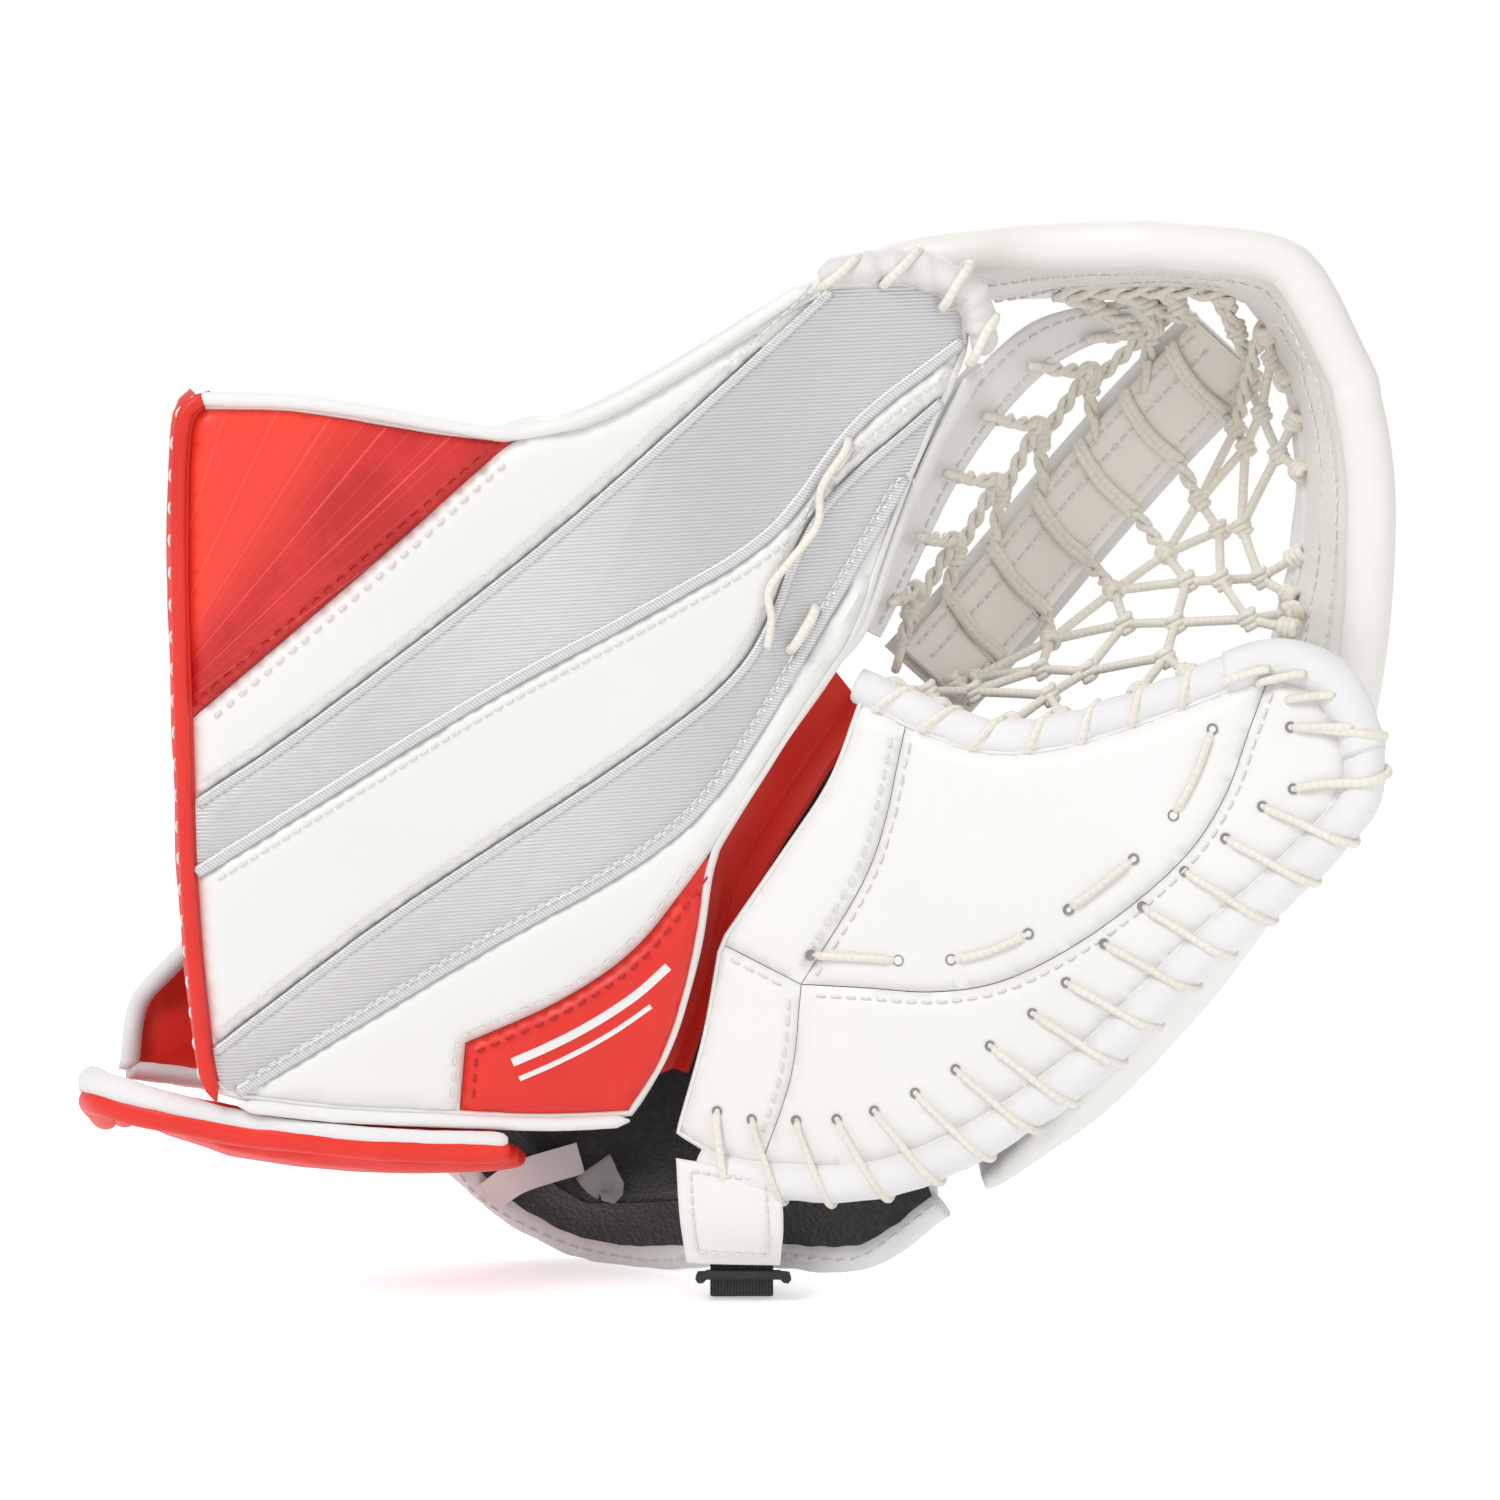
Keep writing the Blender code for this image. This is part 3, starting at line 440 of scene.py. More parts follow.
def cord_part(path, radius, sides=8, shape=None, up=None, flat=1.0):
    """A cord's (verts, faces, uvs). shape(run, angle) scales its radius, flat squeezes it."""
    verts, uvs = [], []
    frames = frames_along(path, up)
    run = 0.0
    for i, point in enumerate(path):
        side, other = frames[i]
        if i:
            run += (path[i] - path[i - 1]).length
        for k in range(sides):
            angle = TURN * k / sides
            reach = radius * (shape(run, angle) if shape else 1.0)
            verts.append(point + side * math.cos(angle) * reach
                         + other * math.sin(angle) * reach * flat)
            uvs.append((run, k / sides))
    return verts, tube_faces(len(path), sides), uvs


def stitch_parts(path, lift, length=2.6 * MM, gap=1.5 * MM, radius=0.38 * MM):
    """Short thread bumps along a path; lift gives the outward direction at each point."""
    parts = []
    total = length_of(path)
    count = int(total / (length + gap))
    for i in range(count):
        start = (i + 0.5) * total / count - length / 2
        spots = []
        for k in range(5):
            spot = at(path, (start + length * k / 4) / total)
            height = radius * (1.0 - 1.9 * abs(k / 4 - 0.5) ** 2 * 2)
            spots.append(spot + lift(spot) * height)
        parts.append(cord_part(spots, radius, 6))
    return parts


def smooth_outline(loop, step, corner=30):
    """Outline of (x, z) points resampled between its corners."""
    count = len(loop)
    flat = [Vector((p.x, p.z)) for p in loop]
    corners = []
    for i in range(count):
        one, two = flat[i] - flat[i - 1], flat[(i + 1) % count] - flat[i]
        if abs(one.angle_signed(two, 0.0)) > math.radians(corner):
            corners.append(i)
    if len(corners) < 2:
        corners = [0, count // 2]
    outline = []
    for a, b in zip(corners, corners[1:] + corners[:1]):
        span = (b - a) % count or count
        stretch = [flat[(a + k) % count] for k in range(span + 1)]
        outline += smooth_curve(stretch, step)[:-1]
    return outline


def as_array(points):
    """Vectors or tuples as the rows of an array."""
    return np.array([tuple(p) for p in points])


def edge_distances(points, outline):
    """Distance of each point to a closed outline."""
    points, a = as_array(points), as_array(outline)
    b = np.roll(a, -1, axis=0)
    edge = b - a
    square = np.maximum((edge ** 2).sum(1), 1e-18)
    result = []
    for p in points:
        t = np.clip(((p - a) * edge).sum(1) / square, 0, 1)
        result.append(np.sqrt((((a + edge * t[:, None]) - p) ** 2).sum(1)).min())
    return np.array(result)


def inside_mask(points, outline):
    """Whether each (x, z) point lies inside a closed outline."""
    a = as_array(outline)
    b = np.roll(a, -1, axis=0)
    mask = []
    for x, z in points:
        crosses = (a[:, 1] > z) != (b[:, 1] > z)
        cut = (b[:, 0] - a[:, 0]) * (z - a[:, 1]) / np.where(crosses, b[:, 1] - a[:, 1], 1) + a[:, 0]
        mask.append(bool(np.count_nonzero(crosses & (x < cut)) % 2))
    return np.array(mask)


ROW_SPACING = 0.866
EDGE_CLEARANCE = 0.55


def leaf_sheet(name, leaf, outline, cell, height, material, depth=1.4 * MM):
    """A closed, padded panel on a leaf. height(x, z, distance to edge) is its lift."""
    border = [tuple(p) for p in outline]
    low, high = np.min(border, axis=0), np.max(border, axis=0)
    xs = np.arange(low[0], high[0], cell)
    zs = np.arange(low[1], high[1], cell * ROW_SPACING)
    grid = np.array([(x + (cell / 2 if k % 2 else 0), z) for k, z in enumerate(zs) for x in xs])
    grid = grid[inside_mask(grid, border)]
    grid = grid[edge_distances(grid, border) > EDGE_CLEARANCE * cell]
    area = sum(a[0] * b[1] - b[0] * a[1] for a, b in zip(border, border[1:] + border[:1]))
    ring = list(range(len(border)))
    if area < 0:
        ring.reverse()
    points = [Vector(p) for p in border] + [Vector(p) for p in grid]
    flat, _, tris, *_ = delaunay_2d_cdt(points, [], [ring], 1, 1e-7)
    flat = as_array(flat)
    distance = edge_distances(flat, border)
    front = [leaf.point(x, z, height(x, z, d)) for (x, z), d in zip(flat, distance)]
    back = [leaf.point(x, z, -depth) for x, z in flat]
    count = len(front)
    faces = [list(t) for t in tris] + [[i + count for i in reversed(t)] for t in tris]
    directed = {(a, b) for t in tris for a, b in zip(t, list(t[1:]) + [t[0]])}
    for a, b in directed:
        if (b, a) not in directed:
            faces.append([b, a, a + count, b + count])
    obj = new_object(name, front + back, faces, material, sharp=60)
    fix_normals(obj)
    return obj


def fix_normals(obj):
    """Turn a closed mesh's faces outwards."""
    bm = bmesh.new()
    bm.from_mesh(obj.data)
    bmesh.ops.recalc_face_normals(bm, faces=bm.faces[:])
    if bm.calc_volume(signed=True) < 0:
        bmesh.ops.reverse_faces(bm, faces=bm.faces[:])
    bm.to_mesh(obj.data)
    bm.free()


def swell(distance, width):
    """0 at an edge, 1 from the width inwards, round in between."""
    t = min(1.0, max(0.0, distance / width))
    return math.sqrt(max(0.0, 1 - (1 - t) ** 2))


# ---------------------------------------------------------------- materials

class Nodes:
    """Small helper for a material's node tree."""

    def __init__(self, name, colour, roughness, metallic=0.0):
        self.material = bpy.data.materials.new(name)
        self.material.use_nodes = True
        self.material.diffuse_color = (*colour, 1)
        self.tree = self.material.node_tree
        self.shader = self.tree.nodes["Principled BSDF"]
        self.shader.inputs["Base Color"].default_value = (*colour, 1)
        self.shader.inputs["Roughness"].default_value = roughness
        self.shader.inputs["Metallic"].default_value = metallic
        self.height = None

    def add(self, kind, **values):
        node = self.tree.nodes.new("ShaderNode" + kind)
        for key, value in values.items():
            if key in node.inputs:
                node.inputs[key].default_value = value
            else:
                setattr(node, key, value)
        return node

    def link(self, source, target):
        self.tree.links.new(source, target)

    def coords(self, kind="Object", rotation=(0, 0, 0), scale=(1, 1, 1)):
        """A turned and scaled set of texture coordinates."""
        source = self.add("TexCoord")
        mapping = self.add("Mapping")
        mapping.inputs["Rotation"].default_value = rotation
        mapping.inputs["Scale"].default_value = scale
        self.link(source.outputs[kind], mapping.inputs["Vector"])
        return mapping.outputs["Vector"]

    def noise(self, vector, scale, detail=3.0, roughness=0.55):
        node = self.add("TexNoise", Scale=scale, Detail=detail, Roughness=roughness)
        self.link(vector, node.inputs["Vector"])
        return node.outputs["Fac"]

    def wave(self, vector, scale, distortion=0.0, direction="X"):
        node = self.add("TexWave", Scale=scale, Distortion=distortion, Detail=0.0)
        node.bands_direction = direction
        self.link(vector, node.inputs["Vector"])
        return node.outputs["Fac"]

    def cells(self, vector, scale):
        node = self.add("TexVoronoi", Scale=scale)
        self.link(vector, node.inputs["Vector"])
        return node.outputs["Distance"]

    def spread(self, value, low, high, from_low=0.0, from_high=1.0):
        """A value's range, stretched onto another one."""
        node = self.add("MapRange")
        for key, number in (("From Min", from_low), ("From Max", from_high), ("To Min", low),
                            ("To Max", high)):
            node.inputs[key].default_value = number
        self.link(value, node.inputs["Value"])
        return node.outputs["Result"]

    def maths(self, operation, a, b=0.0):
        """A calculation with two values, each a number or a socket."""
        node = self.add("Math")
        node.operation = operation
        for socket, value in zip(node.inputs, (a, b)):
            if isinstance(value, (int, float)):
                socket.default_value = value
            else:
                self.link(value, socket)
        return node.outputs["Value"]

    def mix(self, factor, a, b):
        """Colour between two colours, each given as a tuple or a socket."""
        node = self.add("Mix")
        node.data_type = "RGBA"
        for key, value in (("Factor", factor), ("A", a), ("B", b)):
            socket = next(s for s in node.inputs if s.name == key and s.enabled)
            if isinstance(value, tuple):
                socket.default_value = (*value, 1)
            else:
                self.link(value, socket)
        return next(s for s in node.outputs if s.enabled)

    def colour(self, socket):
        self.link(socket, self.shader.inputs["Base Color"])

    def roughness(self, socket):
        self.link(socket, self.shader.inputs["Roughness"])

    def bump(self, socket, strength, distance):
        """Add one bump layer on top of the earlier ones."""
        node = self.add("Bump", Strength=strength, Distance=distance)
        self.link(socket, node.inputs["Height"])
        if self.height is not None:
            self.link(self.height, node.inputs["Normal"])
        self.height = node.outputs["Normal"]
        self.link(self.height, self.shader.inputs["Normal"])

    def sheen(self, weight, roughness):
        self.shader.inputs["Sheen Weight"].default_value = weight
        self.shader.inputs["Sheen Roughness"].default_value = roughness
        self.shader.inputs["Sheen Tint"].default_value = (1, 1, 1, 1)


def vinyl(name, colour, darker, roughness=0.40, grain=1.0, coat=0.05):
    """Smooth coated leather: faint grain, soft clouds of tone and slightly uneven gloss."""
    m = Nodes(name, colour, roughness)
    place = m.coords()
    clouds = m.noise(place, 9.0, 4.0)
    fine = m.noise(place, 900.0, 2.0)
    pores = m.cells(place, 1500.0)
    m.colour(m.mix(m.spread(clouds, 0.0, 1.0, 0.35, 0.75), colour, darker))
    m.roughness(m.spread(m.noise(place, 60.0, 5.0), roughness - 0.06, roughness + 0.10, 0.3, 0.7))
    m.bump(clouds, 0.10, 0.5 * MM)
    m.bump(fine, 0.16 * grain, 0.10 * MM)
    m.bump(pores, 0.12 * grain, 0.06 * MM)
    m.shader.inputs["Coat Weight"].default_value = coat
    m.shader.inputs["Coat Roughness"].default_value = 0.35
    return m.material


WHITE = (0.89, 0.885, 0.868)
WHITE_SHADE = (0.85, 0.84, 0.81)
RED = (0.88, 0.030, 0.014)
RED_SHADE = (0.66, 0.014, 0.010)
CREAM = (0.90, 0.86, 0.79)


def make_red_print():
    """Red corner: fine twill, darker towards the right, crossed by thin brighter lines."""
    m = Nodes("red_print", RED, 0.42)
    place = m.coords()
    twill = m.wave(m.coords(rotation=(0, math.radians(32), 0)), 420.0, 0.4)
    weave = m.wave(m.coords(rotation=(0, math.radians(-58), 0)), 420.0, 0.3)
    low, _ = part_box("cuff_corner_panel")
    split = m.add("SeparateXYZ")
    m.link(place, split.inputs["Vector"])
    across = m.maths("SUBTRACT", split.outputs["X"], low.x - 22 * MM)
    rise = m.maths("SUBTRACT", split.outputs["Z"], low.z - 10 * MM)
    fan = m.maths("ARCTAN2", rise, across)
    edge = m.spread(fan, 0.0, 1.0, 1.02, 0.82)
    patchy = m.spread(m.noise(place, 26.0, 6.0, 0.7), 0.55, 1.35, 0.3, 0.7)
    shade = m.maths("MINIMUM", m.maths("MULTIPLY", edge, patchy), 1.0)
    base = m.mix(shade, (0.92, 0.052, 0.030), (0.56, 0.014, 0.016))
    drift = m.maths("ADD", fan, m.spread(m.noise(place, 6.0, 1.0), -0.02, 0.02))
    rays = m.maths("SINE", m.maths("MULTIPLY", drift, 52.0))
    fine = m.maths("SINE", m.maths("MULTIPLY", drift, 131.0))
    thin = m.maths("MAXIMUM", m.spread(rays, 0.0, 1.0, 0.985, 0.998),
                   m.spread(fine, 0.0, 0.6, 0.985, 0.998))
    thin = m.maths("MULTIPLY", thin, m.spread(m.noise(place, 14.0), 0.0, 0.75, 0.42, 0.60))
    base = m.mix(m.maths("MINIMUM", thin, 1.0), base, (0.95, 0.115, 0.085))
    checks = m.maths("MULTIPLY", twill, weave)
    m.colour(m.mix(m.spread(checks, 0.0, 0.16), base, (0.42, 0.008, 0.008)))
    m.bump(twill, 0.25, 0.12 * MM)
    m.bump(weave, 0.20, 0.10 * MM)
    m.roughness(m.spread(checks, 0.36, 0.52))
    return m.material


def make_silver():
    """Silver ribbed cloth: level ribs about a millimetre apart with a soft metallic gleam; slow
    streaks of painted highlight and shade, and painted shade in the rib grooves.
    """
    m = Nodes("silver_rib", (0.78, 0.78, 0.79), 0.34, 0.60)
    place = m.coords()
    ribs = m.wave(m.coords(rotation=(0, math.radians(2.5), 0)), 290.0, 0.15, "Z")
    threads = m.wave(place, 900.0, 0.5, "X")
    clouds = m.noise(place, 12.0, 4.0)
    # Slow slanting streaks, lighter and darker: painted highlights and shade of the cloth's sheen.
    slow = m.noise(m.coords(rotation=(0, math.radians(35), 0), scale=(1, 1, 0.35)), 7.5, 1.0)
    light = m.mix(m.spread(slow, 0.0, 1.0, 0.36, 0.64), (0.84, 0.84, 0.85), (0.60, 0.60, 0.612))
    # Rib grooves darker than the rib crests: painted shade.
    m.colour(m.mix(m.spread(ribs, 0.50, 0.0, 0.0, 0.6), light, (0.44, 0.44, 0.455)))
    m.roughness(m.spread(clouds, 0.26, 0.40))
    m.bump(ribs, 0.7, 0.3 * MM)
    m.bump(threads, 0.10, 0.08 * MM)
    m.shader.inputs["Anisotropic"].default_value = 0.5
    return m.material


def make_silver_fold():
    """The silver cloth folded over a cord, with slanting ribs along it and painted shade in their
    grooves (UV in metres, turns).
    """
    m = Nodes("silver_fold", (0.80, 0.80, 0.81), 0.36, 0.40)
    ribs = m.wave(m.coords("UV", scale=(1.0, 0.004, 1.0)), 640.0, 0.0, "DIAGONAL")
    # Rib grooves darker than the rib crests: painted shade.
    m.colour(m.mix(m.spread(ribs, 0.60, 0.0, 0.1, 0.8), (0.80, 0.80, 0.81), (0.42, 0.42, 0.44)))
    m.bump(ribs, 0.45, 0.2 * MM)
    return m.material


def make_nylon(name="white_nylon", colour=(0.875, 0.87, 0.875), darker=(0.81, 0.805, 0.81),
               scale=620.0):
    """Matt woven binding cloth."""
    m = Nodes(name, colour, 0.72)
    place = m.coords()
    over = m.wave(place, scale, 0.6, "X")
    under = m.wave(place, scale, 0.6, "Z")
    weave = m.maths("MULTIPLY", over, under)
    clouds = m.noise(place, 30.0, 5.0)
    m.colour(m.mix(m.spread(clouds, 0.0, 0.9, 0.3, 0.75), colour, darker))
    m.bump(clouds, 0.25, 0.5 * MM)
    m.bump(weave, 0.35, 0.15 * MM)
    m.sheen(0.25, 0.5)
    return m.material


def make_lace():
    """Waxed braided skate lace (UV: metres along it, turns around it)."""
    m = Nodes("cream_lace", CREAM, 0.50)
    left, right = [m.wave(m.coords("UV", scale=(1.0, turn, 1.0)), 260.0, 0.0, "DIAGONAL")
                   for turn in (0.0034, -0.0034)]
    braid = m.maths("MAXIMUM", left, right)
    place = m.coords()
    clouds = m.noise(place, 40.0, 4.0)
    pale = m.mix(m.spread(clouds, 0.0, 1.0, 0.3, 0.7), (0.92, 0.885, 0.815), (0.85, 0.805, 0.72))
    # The braid's grooves are darker than its strands: painted shade.
    m.colour(m.mix(m.spread(braid, 0.30, 0.0, 0.3, 0.9), pale, (0.72, 0.70, 0.60)))
    m.bump(braid, 0.5, 0.25 * MM)
    m.bump(m.noise(place, 1400.0), 0.2, 0.08 * MM)
    m.shader.inputs["Subsurface Weight"].default_value = 0.12
    m.shader.inputs["Subsurface Radius"].default_value = (0.004, 0.0035, 0.002)
    return m.material


def make_thread(name, colour):
    """Twisted sewing thread."""
    m = Nodes(name, colour, 0.55)
    twist = m.wave(m.coords("UV", scale=(1.0, 0.0012, 1.0)), 900.0, 0.0, "DIAGONAL")
    # Darker grooves of the twist: painted shade.
    groove_shade = tuple(c * 0.7 for c in colour)
    m.colour(m.mix(m.spread(twist, 0.5, 0.0), colour, groove_shade))
    m.bump(twist, 0.4, 0.1 * MM)
    return m.material


def make_lining():
    """Black brushed knit, with short pale fuzz."""
    m = Nodes("black_knit", (0.018, 0.018, 0.02), 0.95)
    place = m.coords()
    knit = m.cells(place, 700.0)
    fuzz = m.noise(place, 300.0, 6.0, 0.8)
    m.colour(m.mix(m.spread(fuzz, 0.0, 1.0, 0.5, 0.8), (0.012, 0.012, 0.014), (0.06, 0.06, 0.065)))
    m.bump(knit, 0.8, 0.4 * MM)
    m.bump(fuzz, 0.5, 0.4 * MM)
    m.sheen(0.6, 0.6)
    return m.material


def make_velcro():
    """Black loop tape: a dense, irregular pile."""
    m = Nodes("black_loop_tape", (0.015, 0.015, 0.016), 0.9)
    place = m.coords()
    pile = m.cells(place, 1100.0)
    tufts = m.noise(place, 240.0, 8.0, 0.85)
    m.colour(m.mix(m.spread(tufts, 0.0, 1.0, 0.45, 0.75), (0.01, 0.01, 0.011), (0.09, 0.09, 0.092)))
    m.bump(pile, 1.0, 0.7 * MM)
    m.bump(tufts, 0.7, 0.6 * MM)
    return m.material


def make_elastic():
    """Black ribbed elastic web."""
    m = Nodes("black_elastic", (0.02, 0.02, 0.022), 0.7)
    place = m.coords()
    ribs = m.wave(place, 330.0, 0.2, "X")
    # Rib grooves darker than the crests: painted shade.
    m.colour(m.mix(ribs, (0.012, 0.012, 0.013), (0.05, 0.05, 0.052)))
    m.bump(ribs, 0.7, 0.4 * MM)
    return m.material


def make_black_plastic():
    """Moulded black plastic with a satin skin and fine scratches."""
    m = Nodes("black_moulding", (0.012, 0.012, 0.013), 0.38)
    place = m.coords()
    fine = m.noise(place, 500.0, 5.0)
    m.roughness(m.spread(m.noise(place, 90.0, 6.0), 0.28, 0.5, 0.3, 0.7))
    m.colour(m.mix(m.spread(fine, 0.0, 0.7), (0.010, 0.010, 0.011), (0.028, 0.028, 0.03)))
    m.bump(fine, 0.2, 0.1 * MM)
    return m.material


def make_foam():
    """Closed-cell grey foam."""
    m = Nodes("grey_foam", (0.22, 0.22, 0.24), 0.95)
    place = m.coords()
    cells = m.cells(place, 900.0)
    # Cell pits darker than their rims: painted shade.
    m.colour(m.mix(cells, (0.16, 0.16, 0.18), (0.28, 0.28, 0.30)))
    m.bump(cells, 0.6, 0.3 * MM)
    return m.material


def make_stiffener():
    """Pale sheet plastic with sanded faces."""
    m = Nodes("stiff_sheet", (0.75, 0.75, 0.72), 0.45)
    scratch = m.noise(m.coords(scale=(1, 1, 12)), 160.0, 5.0)
    m.colour(m.mix(m.spread(scratch, 0.0, 0.6), (0.76, 0.76, 0.73), (0.66, 0.66, 0.62)))
    m.bump(m.noise(m.coords(), 700.0), 0.15, 0.1 * MM)
    return m.material


white = vinyl("white_vinyl", WHITE, WHITE_SHADE)
white_soft = vinyl("white_vinyl_soft", (0.893, 0.887, 0.872), WHITE_SHADE, 0.46, 1.5, 0.02)
# Band leather tinted warm and creamy: painted warm bounce light in the band's shade.
white_painted_warm_bounce = vinyl("white_vinyl_painted_warm_bounce", (0.90, 0.878, 0.845), (0.85, 0.82, 0.775), 0.44, 1.2, 0.03)
# Stem leather brighter and warmer than the rest: painted light that lifts the band's shade on it,
# with painted warm bounce.
white_stem_painted_light = vinyl("white_vinyl_stem_painted_light", (0.94, 0.893, 0.83), (0.90, 0.845, 0.775), 0.42, 1.2, 0.04)
red = vinyl("red_vinyl", RED, RED_SHADE, 0.42, 1.6)
red_print = make_red_print()
silver = make_silver()
silver_fold = make_silver_fold()
nylon = make_nylon()
tip_nylon = make_nylon("thumb_tip_cloth", (0.84, 0.80, 0.795), (0.74, 0.685, 0.68), 700.0)
pink_nylon = make_nylon("inner_tape", (0.83, 0.78, 0.775), (0.78, 0.71, 0.71), 700.0)
lace_cloth = make_lace()
white_thread = make_thread("white_thread", (0.88, 0.87, 0.84))
red_thread = make_thread("red_thread", (0.55, 0.02, 0.02))
hole_shade = make_thread("needle_hole", (0.33, 0.325, 0.30))
lining = make_lining()
velcro = make_velcro()
elastic_web = make_elastic()
black_moulding = make_black_plastic()
grey_foam = make_foam()
stiff_grey = make_nylon("grey_patch", (0.43, 0.43, 0.44), (0.34, 0.34, 0.35), 600.0)
stiff_sheet = make_stiffener()


# ---------------------------------------------------------------- shared readings of the CAD

BOARD_LOOKS = {
    "cuff_corner_panel": (red_print, "red_leather"),
    "upper_white_panel": (white, "white_leather"),
    "upper_silver_panel": (silver, "silver_weave"),
    "middle_white_panel": (white, "white_leather"),
    "lower_silver_panel": (silver, "silver_weave"),
    "lower_white_panel": (white, "white_leather"),
    "heel_red_panel": (red, "red_leather"),
}
PALM_PANELS = ("palm_centre_panel", "palm_fold_panel", "palm_heel_panel", "palm_outer_panel")

board = Leaf(*BOARD_LOOKS)
palm = Leaf(*PALM_PANELS)
outlines = {node: smooth_outline(front_loop(node), 2.5 * MM)
            for node in (*BOARD_LOOKS, *PALM_PANELS)}


def label(nodes):
    """Hide the CAD nodes that a piece stands for."""
    if nodes:
        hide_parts(*nodes)


def place(obj, body, slot, *nodes):
    """Let a piece ride a body, in place of CAD nodes; the slot is not used."""
    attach(obj, body)
    label(nodes)


def bend(obj, bodies, spots, slot, *nodes):
    """Bake a piece's place into its mesh, in place of CAD nodes; bodies, spots and slot are not
    used.
    """
    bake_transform(obj)
    label(nodes)


def put(name, parts, material, body, slot, *nodes):
    """Join cords, stitches or other parts into one piece that rides a body."""
    place(join_meshes(name, parts, material), body, slot, *nodes)


def centre_line(node, step=2 * MM):
    """Middle of a CAD cord, from one flat end to the other."""
    bm = welded(node)
    ring = set()
    for region in smooth_regions(bm, 4):
        inside = set(region)
        edges = {e for f in region for e in f.edges if not set(e.link_faces) <= inside}
        if all(e.calc_face_angle(0) > math.radians(68) for e in edges):
            ring = {v for f in region for v in f.verts}
            break
    centres, seen = [], set(ring)
    while ring:
        centres.append(sum((v.co for v in in_order(ring)), Vector()) / len(ring))
        ring = {e.other_vert(v) for v in ring for e in v.link_edges} - seen
        seen |= ring
    bm.free()
    return smooth_curve(centres, step)


def shared_edge(panel, other, reach=1.2 * MM):
    """The stretch of a panel's outline that meets another panel, as (x, z) points."""
    mine, theirs = outlines[panel], outlines[other]
    near = edge_distances(mine, theirs) < reach
    count = len(mine)
    start = next(i for i in range(count) if near[i] and not near[i - 1])
    run = []
    for k in range(count):
        if not near[(start + k) % count]:
            break
        run.append(mine[(start + k) % count])
    return run


def offset_flat(path, distance):
    """A flat path moved to its left side by a distance."""
    return [spot + Vector((-ahead.y, ahead.x)) * distance
            for spot, ahead in zip(path, tangents(path))]


def towards(path, spot):
    """+1 if a spot lies on the left of a flat path, else -1."""
    middle = path[len(path) // 2]
    ahead = path[len(path) // 2 + 1] - middle
    away = Vector(spot) - middle
    return 1 if ahead.x * away.y - ahead.y * away.x > 0 else -1


def middle_of(panel):
    """Middle of a panel's outline, as (x, z)."""
    outline = outlines[panel]
    return sum(outline, Vector((0, 0))) / len(outline)


# ---------------------------------------------------------------- cuff and thumb board

PANEL_CELL = 3.2 * MM
PANEL_CROWN = 1.7 * MM
SEAM_DIP = 1.1 * MM


def panel_height(x, z, distance):
    """Padding under a sewn panel: tucked at its seams, with slow waves in between."""
    full = swell(distance, 7 * MM)
    wave = noise.noise(Vector((x * 22, z * 22, 3.1))) * 0.45 * MM
    pucker = noise.noise(Vector((x * 140, z * 140, 9.0))) * 0.30 * MM
    near = max(0.0, 1 - distance / (9 * MM))
    return -SEAM_DIP + (PANEL_CROWN + SEAM_DIP) * full + wave * full + pucker * near * full


def stripe_height(x, z, distance):
    """The ribbed stripes lie flatter, between their folded edges."""
    return -0.4 * MM + 0.8 * MM * swell(distance, 4 * MM)


def build_board_panels():
    """The padded skins of the board's seven panels."""
    for node, (material, slot) in BOARD_LOOKS.items():
        height = stripe_height if material is silver else panel_height
        sheet = leaf_sheet(node + "_skin", board, outlines[node], PANEL_CELL, height, material)
        place(sheet, "thumb", slot, node)


def along_seam(name, panel, other, leaf, inset, body, thread, slot, height=None, **stitch):
    """A row of stitches on a panel beside its seam with another panel."""
    height = height or panel_height
    edge = shared_edge(panel, other)
    side = towards(edge, middle_of(panel))
    path = spaced(offset_flat(edge, side * inset), 2 * MM)[2:-2]
    row = [leaf.point(*p, height(*p, inset) + 0.12 * MM) for p in path]
    normal = leaf.normal(*path[len(path) // 2])
    put(name, stitch_parts(row, lambda spot: normal, **stitch), thread, body, slot)


RIB_WIDTH = 0.7 * MM


def build_stripe_edges():
    """Each stripe's edge is its cloth folded over a cord, with a row of stitches beside it."""
    seams = [("upper_silver_panel", "upper_white_panel", 1.5),
             ("upper_silver_panel", "middle_white_panel", 1.9),
             ("lower_silver_panel", "middle_white_panel", 1.5),
             ("lower_silver_panel", "lower_white_panel", 1.9)]
    for number, (stripe, panel, radius) in enumerate(seams, 1):
        edge = shared_edge(stripe, panel)
        path = spaced(offset_flat(edge, towards(edge, middle_of(stripe)) * 0.8 * MM), 1.5 * MM)
        line = [board.point(*p, 0.2 * MM) for p in path]
        normals = [board.normal(*p) for p in path]
        part = cord_part(line, radius * MM, 12, up=normals, flat=0.55, shape=slanting_ribs)
        put(f"stripe_fold_{number}", [part], silver_fold, "thumb", "silver_weave")
        along_seam(f"stripe_stitches_{number}", panel, stripe, board, 3.6 * MM, "thumb",
                   white_thread, "white_leather", length=2.6 * MM, gap=1.0 * MM, radius=0.3 * MM)


def slanting_ribs(run, angle):
    """Radius factor of a cord with ribs that wind around it."""
    return 1.0 + 0.02 * math.sin(run / RIB_WIDTH * math.pi + angle)


